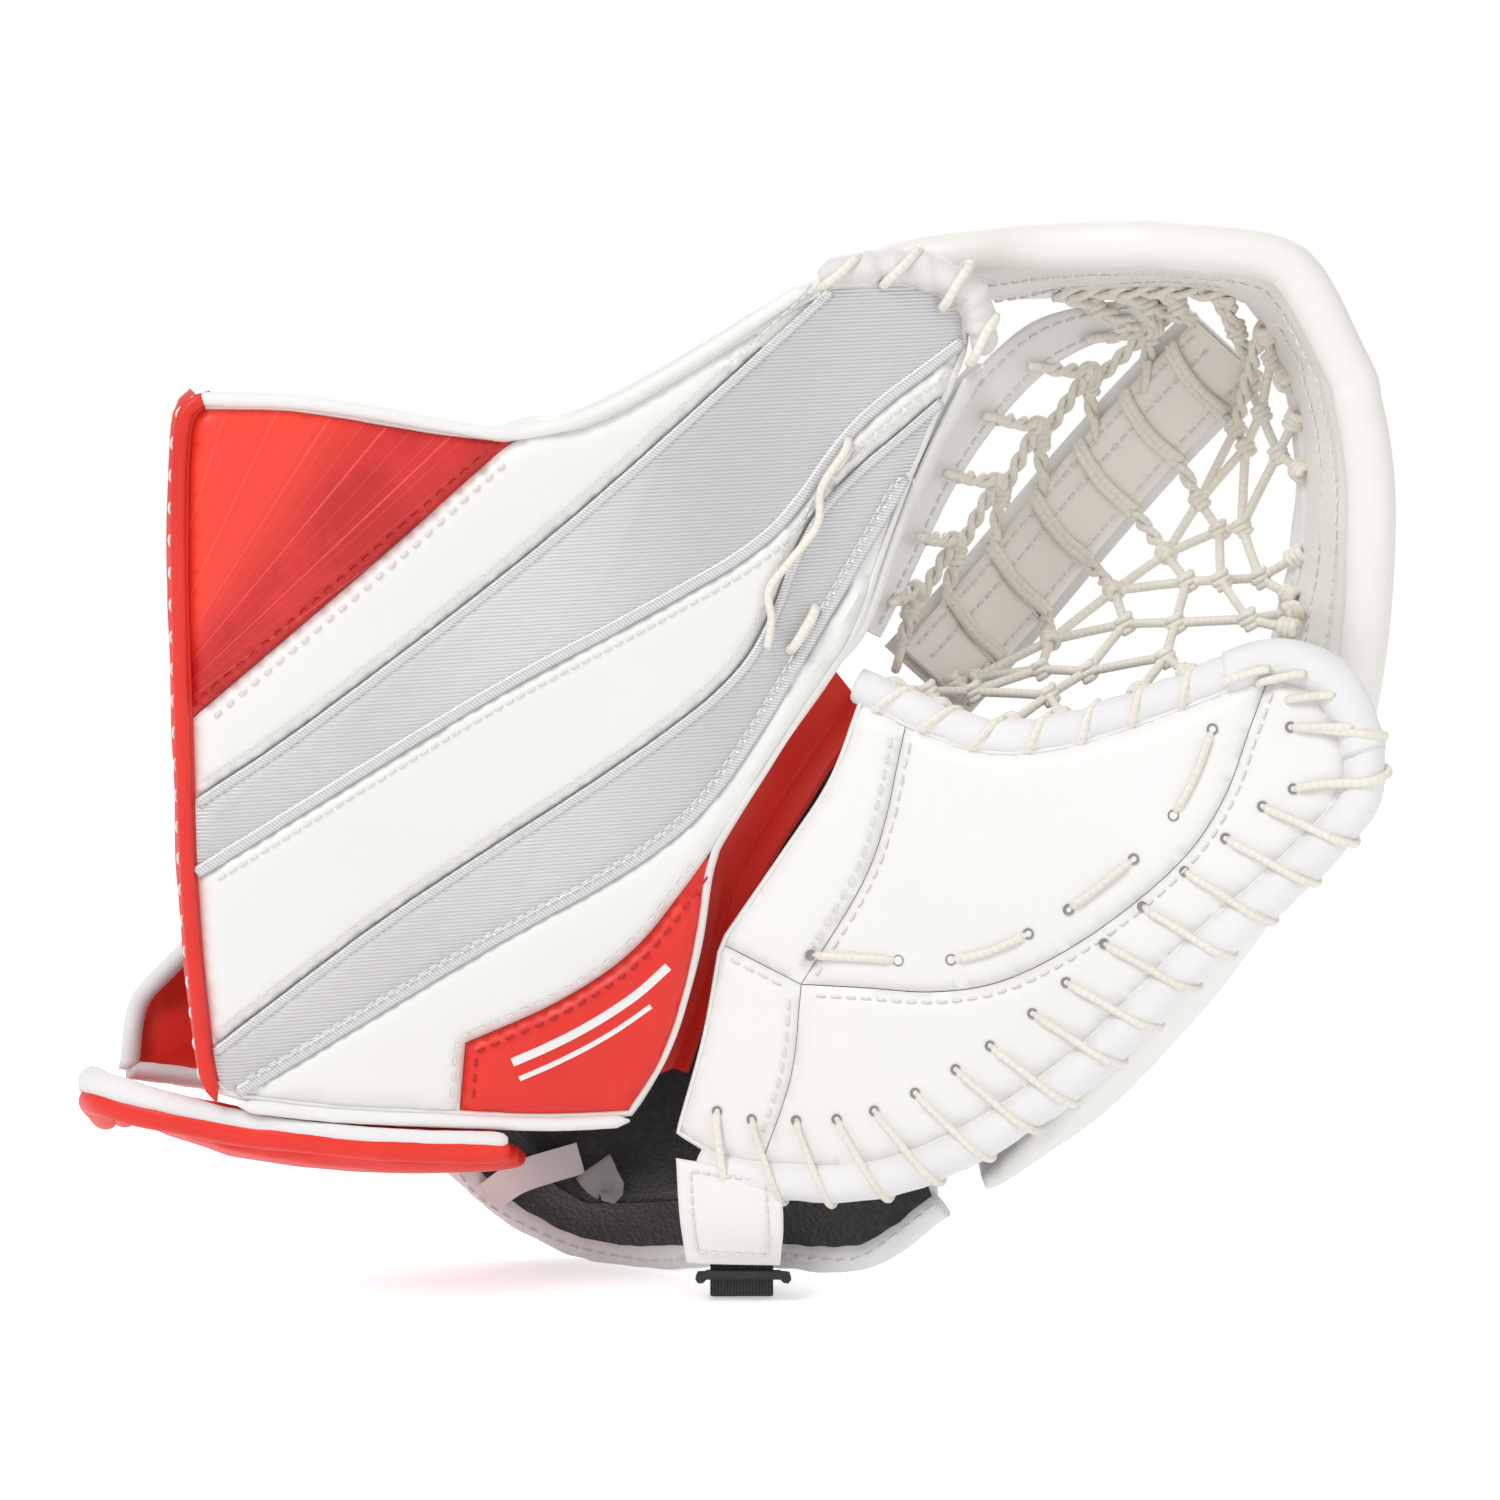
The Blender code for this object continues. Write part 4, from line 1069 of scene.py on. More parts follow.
def build_panel_stitches():
    """Seam rows of the red panels and of the white panels beside them."""
    rows = [("upper_white_panel", "cuff_corner_panel", 3.2, white_thread, "white_leather"),
            ("cuff_corner_panel", "upper_white_panel", 2.8, red_thread, "red_leather"),
            ("lower_white_panel", "heel_red_panel", 3.0, white_thread, "white_leather"),
            ("heel_red_panel", "lower_white_panel", 2.8, red_thread, "red_leather")]
    for number, (panel, other, inset, thread, slot) in enumerate(rows, 1):
        along_seam(f"seam_stitches_{number}", panel, other, board, inset * MM, "thumb", thread,
                   slot, length=2.4 * MM, gap=2.2 * MM)


WIDEST_GAP = 14 * MM


def rim_of(panels):
    """Outline of a group of panels: their edges that meet no other panel."""
    rim = []
    for node in panels:
        others = [outlines[n] for n in panels if n != node]
        gaps = np.min([edge_distances(outlines[node], o) for o in others], axis=0)
        rim += [p for p, gap in zip(outlines[node], gaps) if gap > 1.6 * MM]
    chain = [min(rim, key=lambda p: p.x + p.y)]
    left = [p for p in rim if p is not chain[0]]
    while left:
        after = left.pop(nearest(left, chain[-1]))
        if (after - chain[-1]).length > WIDEST_GAP:
            break
        chain.append(after)
    return chain


# Lift and distance outwards, from the front edge of the board's side to its back.
WALL_PROFILE = [(-0.2, 0.4), (-1.6, 1.7), (-5.0, 3.0), (-10.5, 3.5), (-16.0, 3.0), (-20.0, 1.8),
                (-22.6, -0.4)]


def wall_part(path, flare):
    """Soft side wall of the board along a stretch of its rim, as (verts, faces, uvs)."""
    middle = sum(path, Vector((0, 0))) / len(path)
    side = sum((a - middle).x * (b - middle).y - (a - middle).y * (b - middle).x
               for a, b in zip(path, path[1:]))
    turn = -1 if side > 0 else 1
    verts, uvs = [], []
    size = len(WALL_PROFILE)
    for i, (spot, ahead) in enumerate(zip(path, tangents(path))):
        outward = Vector((-ahead.y, ahead.x)) * turn
        for k, (lift, out) in enumerate(WALL_PROFILE):
            ripple = 1 + 0.18 * noise.noise(Vector((spot.x * 45, spot.y * 45, lift * 0.2)))
            reach = (out * ripple + flare * k / (size - 1)) * MM
            flat = spot + outward * reach
            verts.append(board.point(flat.x, flat.y, lift * MM))
            uvs.append((i * 3 * MM, k * 3 * MM))
    return verts, strip_faces(len(path), size), uvs


def thicken(obj, depth):
    """Give an open sheet its thickness on the inner side and close its rim."""
    modifier = obj.modifiers.new("thickness", "SOLIDIFY")
    modifier.thickness = depth
    modifier.offset = -1.0
    modifier.use_even_offset = False
    apply_modifiers(obj)


def apply_modifiers(obj):
    """Bake an object's modifiers into its mesh."""
    bpy.context.view_layer.update()
    evaluated = obj.evaluated_get(bpy.context.evaluated_depsgraph_get())
    mesh = bpy.data.meshes.new_from_object(evaluated)
    obj.modifiers.clear()
    old = obj.data
    obj.data = mesh
    bpy.data.meshes.remove(old)


def both_ways(chain, rim, start, end):
    """The two stretches of a closed chain between two spots; rim holds its points' places."""
    i, j, count = nearest(rim, start), nearest(rim, end), len(rim)
    return ([chain[(i + k) % count] for k in range((j - i) % count + 1)],
            [chain[(i - k) % count] for k in range((i - j) % count + 1)])


def flat_of(point):
    """A point as (x, z)."""
    return Vector((point.x, point.z))


WALL_THICKNESS = 1.1 * MM
LINING_CELL = 6 * MM
BOARD_LINING_FRONT = -20.6 * MM
BOARD_LINING_BACK = -23.2 * MM


def build_board_shell(rim):
    """Red wall at the cuff's end, white wall elsewhere, and the lined back."""
    end = centre_line("cuff_end_piping")
    middle = middle_of("middle_white_panel")
    red_run, white_run = sorted(both_ways(rim, rim, flat_of(end[0]), flat_of(end[-1])), key=len)
    for name, run, flare, material, slot, node in (
            ("cuff_end_side", red_run, 3.4, red, "red_leather", "cuff_end_wall"),
            ("board_side", white_run, 0.0, white_soft, "white_leather", "board_top_wall")):
        obj = join_meshes(name, [wall_part(spaced(run, 3 * MM), flare)], material)
        face_outwards(obj, Vector((middle.x, 20 * MM, middle.y)))
        thicken(obj, WALL_THICKNESS)
        place(obj, "thumb", slot, node)
    back = leaf_sheet("board_back_lining", board, offset_closed(rim, -1.2 * MM), LINING_CELL,
                      lambda x, z, d: BOARD_LINING_FRONT, lining, depth=0.0)
    set_back(back, board, BOARD_LINING_BACK, -1.6 * MM)
    place(back, "thumb", "black_lining", "board_lining")


def offset_closed(chain, distance):
    """Closed flat outline moved outwards by a distance (inwards if negative)."""
    middle = sum(chain, Vector((0, 0))) / len(chain)
    moved = []
    for spot, ahead in zip(chain, tangents(chain, closed=True)):
        normal = Vector((-ahead.y, ahead.x))
        if normal.dot(spot - middle) < 0:
            normal = -normal
        moved.append(spot + normal * distance)
    return moved


def set_back(obj, leaf, level, quilt=0.0):
    """Put the back half of a leaf sheet at its own level, with shallow quilting."""
    half = len(obj.data.vertices) // 2
    for i, vert in enumerate(obj.data.vertices):
        if i >= half:
            x, z = vert.co.x, vert.co.z
            puff = abs(math.sin(x * 60) * math.sin(z * 60)) * quilt
            vert.co = leaf.point(x, z, level + puff)


def face_outwards(obj, middle):
    """Turn an open sheet's faces away from a middle point."""
    total = 0.0
    for face in obj.data.polygons:
        total += (face.center - middle).dot(face.normal) * face.area
    if total < 0:
        obj.data.flip_normals()


def build_board_piping():
    """Corded edges around the cuff, each covered with the leather of its side."""
    for node, material, slot, radius in (
            ("cuff_end_piping", red, "red_leather", 2.2),
            ("board_top_piping", white_soft, "white_leather", 2.1),
            ("board_bottom_piping", white_soft, "white_leather", 2.1)):
        path = centre_line(node)
        path = [2 * path[0] - path[2]] + path + [2 * path[-1] - path[-3]]
        part = cord_part(path, radius * MM, 12, shape=lumps_of(length_of(path)))
        put(node + "_cord", [part], material, "thumb", slot, node)


def lumps_of(length):
    """Small lumps along a piping, whose two ends are tucked in."""
    def shape(run, angle):
        lump = noise.noise(Vector((run * 210, math.cos(angle), math.sin(angle))))
        return (1.0 + 0.07 * lump) * tapered(run, length, 6 * MM, 0.2)
    return shape


def build_cuff_end_stitches():
    """White stitches that hold the red end wall."""
    path = centre_line("cuff_end_piping")
    path = [p + Vector((-2.3 * MM, 1.2 * MM, 0)) for p in path]
    parts = stitch_parts(path, lambda spot: Vector((-0.8, -0.6, 0)), 3.4 * MM, 5.5 * MM, 0.5 * MM)
    put("cuff_end_stitches", parts, white_thread, "thumb", "red_leather")


def build_board():
    build_board_panels()
    build_stripe_edges()
    build_panel_stitches()
    build_board_shell(rim_of(BOARD_LOOKS))
    build_board_piping()
    build_cuff_end_stitches()


# ---------------------------------------------------------------- soft sheets, rolls and laces

def soft_patch(name, patch, nu, nv, crown, depth, material, edge=0.10, ripple=0.0, scale=40):
    """A padded slab on a CAD face: crowned in the middle, thin and rounded at its edges.

    edge is the share of the face that rounds off, ripple and scale are those of its waves.
    """
    points, normals = patch.grid(nu, nv)
    verts, uvs = [], []
    for layer in (1, -1):
        for i in range(nu + 1):
            for k in range(nv + 1):
                rim = min(i / nu, 1 - i / nu, k / nv, 1 - k / nv)
                full = swell(rim, edge)
                spot, out = points[i][k], normals[i][k]
                wave = ripple * noise.noise(spot * scale) * full
                reach = crown * full + wave if layer > 0 else -depth * (0.45 + 0.55 * full)
                verts.append(spot + out * reach)
                uvs.append((i / nu, k / nv))
    obj = new_object(name, verts, slab_faces(nu, nv), material, uvs, sharp=70)
    fix_normals(obj)
    return obj


def put_rows(name, patch, levels, lift, body):
    """White stitch rows along a CAD strap, at levels across it."""
    parts = []
    for v in levels:
        path = patch.line([(0.02, v), (0.35, v), (0.65, v), (0.98, v)], lift)
        normal = patch.normal(0.65, v)
        parts += stitch_parts(path, lambda spot: normal)
    put(name, parts, white_thread, body, "white_leather")


def wrinkled(amount, frequency, seed=0.0):
    """Cross wrinkles of a cloth roll, as a radius factor."""
    def shape(run, angle):
        spot = Vector((run * frequency, math.cos(angle) * 0.9, math.sin(angle) * 0.9 + seed))
        return 1.0 + amount * noise.noise(spot) + amount * 0.5 * noise.noise(spot * 2.7)
    return shape


LACE = 1.45 * MM


def lace_cord(path, radius=LACE, flat=0.85):
    """One flat lace along a path."""
    return cord_part(spaced(path, 1.6 * MM), radius, 8, flat=flat)


def twisted(path, radius=1.25 * MM, strand=1.3 * MM, pitch=13 * MM):
    """Two laces twisted around each other along a path."""
    path = spaced(path, 1.3 * MM)
    frames = frames_along(path)
    parts = []
    for phase in (0.0, math.pi):
        run, line = 0.0, []
        for i, spot in enumerate(path):
            if i:
                run += (path[i] - path[i - 1]).length
            line.append(spot + around(frames[i], phase + TURN * run / pitch) * radius)
        parts.append(cord_part(line, strand, 8, flat=0.9))
    return parts


KNOT_TURNS = 2.4
KNOT_LENGTH = 4.6 * MM


def knot(spot, ahead, size=2.2 * MM, strand=1.25 * MM):
    """A tight wrap of lace around a crossing, with the lace bunched up inside it."""
    axis = ahead.normalized()
    side = square_to(axis)
    line = []
    steps = int(KNOT_TURNS * 14)
    for i in range(steps + 1):
        ring = around((side, axis.cross(side)), TURN * KNOT_TURNS * i / steps)
        line.append(spot + axis * (i / steps - 0.5) * KNOT_LENGTH + ring * size)
    return [cord_part(line, strand, 8), bead(spot)]


def eyelet(spot, normal, size=1.7 * MM):
    """Dark punched hole: a shallow cone into the leather."""
    normal = normal.normalized()
    side = square_to(normal, Vector((0, 0, 1)))
    pair = (side, normal.cross(side))
    sides = 14
    ring = [spot + around(pair, TURN * k / sides) * size + normal * 0.15 * MM
            for k in range(sides)]
    faces = [[k, (k + 1) % sides, sides] for k in range(sides)]
    return ring + [spot - normal * 0.9 * MM], faces, [(0, 0)] * (sides + 1)


# ---------------------------------------------------------------- pads blown up as cloth

def object_from(name, bm, material):
    """A mesh object from an edit mesh, which is freed."""
    mesh = bpy.data.meshes.new(name)
    bm.to_mesh(mesh)
    bm.free()
    mesh.materials.append(material)
    return linked(name, mesh)


def refine(obj, levels):
    """Subdivide a mesh into a smooth surface."""
    finer = obj.modifiers.new("finer", "SUBSURF")
    finer.levels = finer.render_levels = levels
    apply_modifiers(obj)


INNER_PRESSURE = 4.0


def inflated(name, node, material, voxel=5.0, cap=7.0, shrink=1.5):
    """A CAD solid turned into a stuffed cloth pad by a short pressure simulation."""
    obj = object_from(name, welded(node), material)
    remesh = obj.modifiers.new("even", "REMESH")
    remesh.mode = "VOXEL"
    remesh.voxel_size = voxel * MM
    apply_modifiers(obj)
    bm = bmesh.new()
    bm.from_mesh(obj.data)
    bm.normal_update()
    for vert in bm.verts:
        vert.co -= vert.normal * shrink * MM
    bm.to_mesh(obj.data)
    bm.free()
    simulate(obj, INNER_PRESSURE, cap * MM)
    refine(obj, 1)
    if not obj.data.materials:
        obj.data.materials.append(material)
    obj.data.shade_smooth()
    return obj


SETTLE_FRAMES = 20


def simulate(obj, pressure, cap):
    """Some frames of cloth under inner pressure, each point held within a cap."""
    rest = np.array([v.co for v in obj.data.vertices])
    cloth = obj.modifiers.new("cloth", "CLOTH")
    settings = cloth.settings
    settings.quality = 6
    settings.mass = 0.3
    settings.tension_stiffness = 14
    settings.compression_stiffness = 14
    settings.bending_stiffness = 0.6
    settings.use_pressure = True
    settings.uniform_pressure_force = pressure
    settings.effector_weights.gravity = 0.0
    scene = bpy.context.scene
    for number in range(1, SETTLE_FRAMES + 1):
        scene.frame_set(number)
    apply_modifiers(obj)
    scene.frame_set(1)
    moved = np.array([v.co for v in obj.data.vertices])
    step = moved - rest
    length = np.linalg.norm(step, axis=1, keepdims=True)
    held = rest + step * np.minimum(1.0, cap / np.maximum(length, 1e-9))
    obj.data.vertices.foreach_set("co", held.ravel())
    obj.data.update()


def press_channels(obj, lines, facing, depth, width):
    """Sewn channels: push the pad in along paths, on the side that faces a direction."""
    facing = Vector(facing)
    normals = [v.normal.copy() for v in obj.data.vertices]
    for line in lines:
        spots = as_array(line)
        for vert, normal in zip(obj.data.vertices, normals):
            if normal.dot(facing) < 0.15:
                continue
            gap = np.sqrt(((spots - np.array(vert.co)) ** 2).sum(1).min())
            vert.co -= normal * depth * math.exp(-(gap / width) ** 2)
    obj.data.update()


def upright_cuts(node, shares, slope, foot, beyond, steps):
    """Points of upright cuts through a CAD pad, at shares of its width."""
    low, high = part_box(node)
    cuts = []
    for share in shares:
        x = low.x + (high.x - low.x) * share
        cuts.append([Vector((x + slope * (z - low.z), y, z))
                     for z in np.linspace(low.z + foot, high.z, 60)
                     for y in np.linspace(low.y, high.y + beyond, steps)])
    return cuts


# ---------------------------------------------------------------- thumb

thumb_side = Patch("thumb_side_wall", (1, 0, 0), (0, -1, 1), (0, 0, -1))
skirt = Patch("thumb_skirt", (0, -1, 0), (1, 0, 1), (-1, 0, -1))
tip_line = centre_line("thumb_tip_binding")


TIP_ROLL = 5.0 * MM


def build_thumb_tip():
    """Nylon binding gathered around the end of the thumb, laced on over its edge."""
    path = smooth_curve(tip_line[::6] + [tip_line[-1]], 1.2 * MM)
    part = cord_part(path, TIP_ROLL, 24, up=PALM_SIDE, shape=gathered(length_of(path)),
                     flat=1.2)
    put("thumb_tip_binding_cloth", [part], tip_nylon, "thumb", "white_nylon",
        "thumb_tip_binding")
    parts = [lace_cord(over_edge(at(tip_line, t), slope))
             for t, slope in ((0.10, -0.5), (0.38, -0.2), (0.64, 0.3), (0.92, 0.6))]
    put("thumb_tip_laces", parts, lace_cloth, "thumb", "cream_lace")


def gathered(length):
    """Deep cross puckers of a gathered binding that thins out at its two ends."""
    def shape(run, angle):
        fold = noise.noise(Vector((run * 300, math.cos(angle) * 0.5, 4.0)))
        slow = noise.noise(Vector((run * 75, math.cos(angle), math.sin(angle))))
        return (1.0 + 0.24 * fold + 0.18 * slow) * tapered(run, length, 14 * MM, 0.35)
    return shape


def tapered(run, length, reach, least):
    """1 along a roll's middle, down to the least share at its ends."""
    near = min(run, length - run)
    return least + (1 - least) * swell(max(0.0, near), reach)


def over_edge(spot, slope):
    """Path of a lace from a hole in the board, over the tip's roll and down its far side."""
    roll, inwards = 5.6, 8.5
    middle = middle_of("middle_white_panel")
    outward = Vector((spot.x - middle.x, 0, spot.z - middle.y)).normalized()
    sideways = Vector((-outward.z, 0, outward.x))
    steps = [(-inwards, -0.30, 2.8), (-inwards * 0.6, -0.2, roll + 0.6), (0.0, 0.0, roll + 1.4),
             (roll, 0.12, roll * 0.8), (roll + 1.3, 0.2, 0.0), (roll * 0.8, 0.3, -roll - 0.5)]
    return smooth_curve([spot + (outward * a + sideways * (b * slope * 20) + PALM_SIDE * c) * MM
                         for a, b, c in steps], 1.5 * MM)


def build_thumb_sides():
    """Padded side of the thumb and the strap that joins it to the pocket."""
    side = soft_patch("thumb_side_cover", thumb_side, 36, 14, 1.6 * MM, 2.4 * MM, white_soft,
                      0.14, 1.1 * MM, 55)
    place(side, "thumb", "white_leather", "thumb_side_wall")
    strap = soft_patch("thumb_skirt_cover", skirt, 48, 10, 0.9 * MM, 2.2 * MM, white_soft, 0.2,
                       0.5 * MM, 60)
    place(strap, "thumb", "white_leather", "thumb_skirt")
    put_rows("thumb_skirt_stitches", skirt, (0.22, 0.80), 1.1 * MM, "thumb")


def build_thumb_back():
    """Stuffed pad behind the thumb, and the stall inside."""
    pad = inflated("thumb_back_cushion", "thumb_back_pad", white_soft, 4.5, 6.0)
    place(pad, "thumb", "white_leather", "thumb_back_pad")
    place(sewn_stall("thumb_stall_cloth", "thumb_stall"), "thumb", "black_lining", "thumb_stall")


def sewn_stall(name, node):
    """Knitted finger stall: the CAD sleeve, rounded and slightly creased."""
    bm = welded(node)
    bmesh.ops.join_triangles(bm, faces=bm.faces[:], angle_face_threshold=0.6,
                             angle_shape_threshold=1.2)
    obj = object_from(name, bm, lining)
    refine(obj, 2)
    for vert in obj.data.vertices:
        vert.co += vert.normal * 0.6 * MM * noise.noise(vert.co * 130)
    obj.data.shade_smooth()
    return obj


def build_loose_lace():
    """The long lace end that hangs down the front of the thumb."""
    top = at(rightwards(shared_edge("upper_silver_panel", "middle_white_panel")), 0.80)
    bottom = at(rightwards(shared_edge("lower_silver_panel", "middle_white_panel")), 0.70)
    spots = []
    for t, side, lift in ((-0.18, 3, 1.6), (-0.10, 3, 3.4), (0.12, 0, 4.0), (0.34, 3, 3.6),
                          (0.56, -1, 3.8), (0.74, -4, 3.4), (0.92, 0, 3.6), (1.10, 2, 3.2)):
        flat = top.lerp(bottom, t)
        spots.append(board.point(flat.x + side * MM, flat.y, lift * MM))
    parts = [cord_part(smooth_curve(spots, 1.5 * MM), 1.25 * MM, 8, flat=0.8)]
    flat = top.lerp(bottom, 1.0)
    short = [board.point(flat.x + a * MM, flat.y + b * MM, c * MM)
             for a, b, c in ((7, -6, 0), (8, -4.5, 3.0), (11, 0.5, 3.6), (14, 5.5, 3.2), (15, 7, 0))]
    parts.append(lace_cord(smooth_curve(short, 1 * MM), 1.5 * MM))
    put("thumb_loose_lace", parts, lace_cloth, "thumb", "cream_lace")


def build_thumb():
    build_thumb_tip()
    build_thumb_sides()
    build_thumb_back()
    build_loose_lace()


# ---------------------------------------------------------------- perimeter band

BAND_THICKNESS = 13.0 * MM
BAND_STEP = 3.2 * MM
FRONT_ROLL = 6.9 * MM


def band_rows():
    """(front, back) edge points of the band's outer face, smooth through all three stretches."""
    top = Patch("band_top_cover", (0, 0, 1), (-1, -0.6, 0), (1, 0, 0))
    corner = Patch("band_corner_cover", (0.7, 0, 0.7), (-1, -1.5, 1), (1, 0, -1))
    side = Patch("band_side_cover", (1, 0, 0), (0, -0.6, 1), (0, 0, -1))
    pairs = []
    for patch, marks in ((top, [k / 9 for k in range(10)]), (corner, [0.5]),
                         (side, [k / 9 for k in range(10)])):
        for t in marks:
            pairs.append(Vector((*at(patch.low, t), *at(patch.high, t))))
    return smooth_curve(pairs, BAND_STEP), pairs[10]


def band_frames():
    """(front spot, direction to the back, depth, direction inwards) of every row, and the
    number of the folding corner's row."""
    rows, corner = band_rows()
    fronts = [Vector(row[:3]) for row in rows]
    centre = Vector((fronts[0].x * 0.5 + fronts[-1].x * 0.5, 0, 0.23))
    found = []
    for row, front, ahead in zip(rows, fronts, tangents(fronts)):
        deep = Vector(row[3:]) - front
        inward = ahead.cross(deep).normalized()
        if inward.dot(centre - front) < 0:
            inward = -inward
        found.append((front, deep.normalized(), deep.length, inward))
    return found, nearest(rows, corner)


def band_section(depth):
    """Closed outline of the padded band: (distance from its front, distance inwards)."""
    t = BAND_THICKNESS
    side = [(FRONT_ROLL * 1.1 + (depth - FRONT_ROLL * 1.1) * k / 16, k / 16) for k in range(17)]
    points = [(d, -1.0 * MM * math.sin(math.pi * s)) for d, s in reversed(side)]
    for k in range(1, 18):
        angle = math.pi * k / 18
        points.append((FRONT_ROLL * (1 - 1.05 * math.sin(angle)) + 0.2 * MM,
                       t / 2 - math.cos(angle) * (t / 2 + 0.7 * MM)))
    points += [(d, t + 1.0 * MM * math.sin(math.pi * s)) for d, s in side]
    points += [(depth + 1.6 * MM, t * 0.82), (depth + 2.2 * MM, t * 0.5),
               (depth + 1.6 * MM, t * 0.18)]
    return points


def band_sweep(frames, name, material, fold):
    """Padded channel along band frames, creased on its inner side near the folding corner."""
    verts, uvs = [], []
    size = len(band_section(1.0))
    for i, (front, deep, length, inward) in enumerate(frames):
        depth = length * 1.03
        start = front - deep * depth * 0.03
        near = math.exp(-((front - fold).length / (24 * MM)) ** 2)
        for k, (d, w) in enumerate(band_section(depth)):
            spot = start + deep * d + inward * w
            inner = max(0.0, min(1.0, w / BAND_THICKNESS))
            rough = 0.8 + 3.0 * near
            crease = noise.noise(Vector((spot.x * 75, spot.y * 20, spot.z * 75))) * rough * MM
            spot += inward * crease * inner * min(1.0, d / (14 * MM))
            spot += inward * noise.noise(spot * 24) * 0.7 * MM
            verts.append(spot)
            uvs.append((i * BAND_STEP, k / size))
    obj = new_object(name, verts, tube_faces(len(frames), size), material, uvs, sharp=60)
    fix_normals(obj)
    return obj


def band_inner(frames, depth_at, lift):
    """Path along the band's inner face, at a depth from its front edge."""
    return [front + deep * min(depth_at, length * 0.92) + inward * (BAND_THICKNESS + lift)
            for front, deep, length, inward in frames]


def band_stitches(frames, name):
    """Two rows of stitches along the band's inner face."""
    parts = []
    for depth_at in (15 * MM, 34 * MM):
        line = band_inner(frames, depth_at, 1.2 * MM)
        pairs = [(spot, frame_[3]) for spot, frame_ in zip(line, frames)]
        parts += stitch_parts(line, lambda spot: min(pairs, key=lambda p: (p[0] - spot).length)[1])
    return join_meshes(name, parts, white_thread)


def band_webbing(frames):
    """Woven strip sewn down the side band's inner face, near its back."""
    rows, outs = [], []
    for front, deep, length, inward in frames:
        middle = front + deep * length * 0.80 + inward * (BAND_THICKNESS + 1.3 * MM)
        rows.append([middle + deep * 9 * MM * (k / 4 - 0.5) for k in range(5)])
        outs.append([inward] * 5)
    return sheet_between("band_webbing", rows, outs, -0.8 * MM, 0.7 * MM, nylon, 0.4 * MM)


def build_band():
    """One padded band in two lengths that meet at the folding corner."""
    frames, half = band_frames()
    top, side = frames[:half + 1], frames[half:]
    joint = Vector(band_rows()[1][:3])
    near, far = 8 * MM, 46 * MM
    top_way = (top[-17][0] - joint).normalized()
    side_way = (side[17][0] - joint).normalized()
    for name, part, bodies, spots, nodes in (
            ("band_top", top, ("thumb", "pocket"), (joint + top_way * far, joint + top_way * near),
             ("band_top_cover", "band_top_foam")),
            ("band_side", side, ("pocket", "palm"),
             (joint + side_way * near, joint + side_way * far),
             ("band_side_cover", "band_side_foam", "band_corner_cover", "band_corner_foam"))):
        # The padding's warm tint is painted bounce light in the band's shade.
        cover = band_sweep(part, name + "_padding", white_painted_warm_bounce, joint)
        bend(cover, bodies, spots, "white_leather", *nodes)
        bend(band_stitches(part, name + "_stitches"), bodies, spots, "white_leather")
    place(band_webbing(side[20:-12]), "palm", "white_nylon")


# ---------------------------------------------------------------- stem strap and net

stem = Patch("stem_strap_front", (0, -1, 0), (1, 0, 1), (-1, 0, -1))
BACKING_WIDTH = 1.26
STEM_STATIONS = (0.10, 0.25, 0.40, 0.55, 0.70, 0.86)


class NetEdges:
    """Three lines the lace net hangs on, from the folding corner to the bottom: the skirt's
    edge and both edges of the stem strap."""

    def __init__(self):
        self.skirt = skirt.line([(0.03, 0.93), (0.35, 0.93), (0.65, 0.93), (0.97, 0.93)], 0.6 * MM)
        if stem.point(0.5, 0.0).x < stem.point(0.5, 1.0).x:
            self.upper_v, self.lower_v = 0.0, 1.0
        else:
            self.upper_v, self.lower_v = 1.0, 0.0
        self.upper = self.stem_line(self.upper_v)
        self.lower = self.stem_line(self.lower_v)
        if (self.skirt[0] - self.upper[0]).length > (self.skirt[-1] - self.upper[0]).length:
            self.skirt.reverse()

    @staticmethod
    def stem_line(v):
        return stem.line([(0.0, v), (0.35, v), (0.65, v), (1.0, v)], 0.0)


def build_stem():
    """Two-layer strap down the middle of the pocket, stitched along both edges."""
    # The strap's brighter, warmer white is painted light against the shade it lies in.
    front = soft_patch("stem_strap_cover", stem, 56, 14, 1.3 * MM, 3.4 * MM, white_stem_painted_light, 0.16,
                       0.7 * MM, 60)
    place(front, "pocket", "white_leather", "stem_strap_front", "stem_stiffener")
    back = Patch("stem_strap_back", (0, 1, 0), (1, 0, 1), (-1, 0, -1))
    points, normals = back.grid(48, 10)
    wide = []
    for row in points:
        middle = (row[0] + row[-1]) / 2
        wide.append([middle + (p - middle) * BACKING_WIDTH for p in row])
    obj = sheet_between("stem_strap_backing", wide, normals, -1.2 * MM, 1.2 * MM, white_soft)
    place(obj, "pocket", "white_leather", "stem_strap_back")
    put_rows("stem_stitches", stem, (0.13, 0.66, 0.88), 1.75 * MM, "pocket")
    parts, welts = [], []
    hole = 0.60 if stem.point(0.5, 0.0).z > stem.point(0.5, 1.0).z else 0.40
    for u in STEM_STATIONS:
        spot, out = stem.point(u, hole), stem.normal(u, hole)
        parts.append(eyelet(spot + out * 2.3 * MM, out, 2.0 * MM))
        welt = stem.line([(u + 0.01, hole), (u + 0.02, 0.5 + (hole - 0.5) * 4.5)], 1.5 * MM)
        welts.append(cord_part(welt, 0.7 * MM, 8))
    put("stem_eyelets", parts, hole_shade, "pocket", "white_leather")
    # The welts share the strap's painted light.
    put("stem_welts", welts, white_stem_painted_light, "pocket", "white_leather")


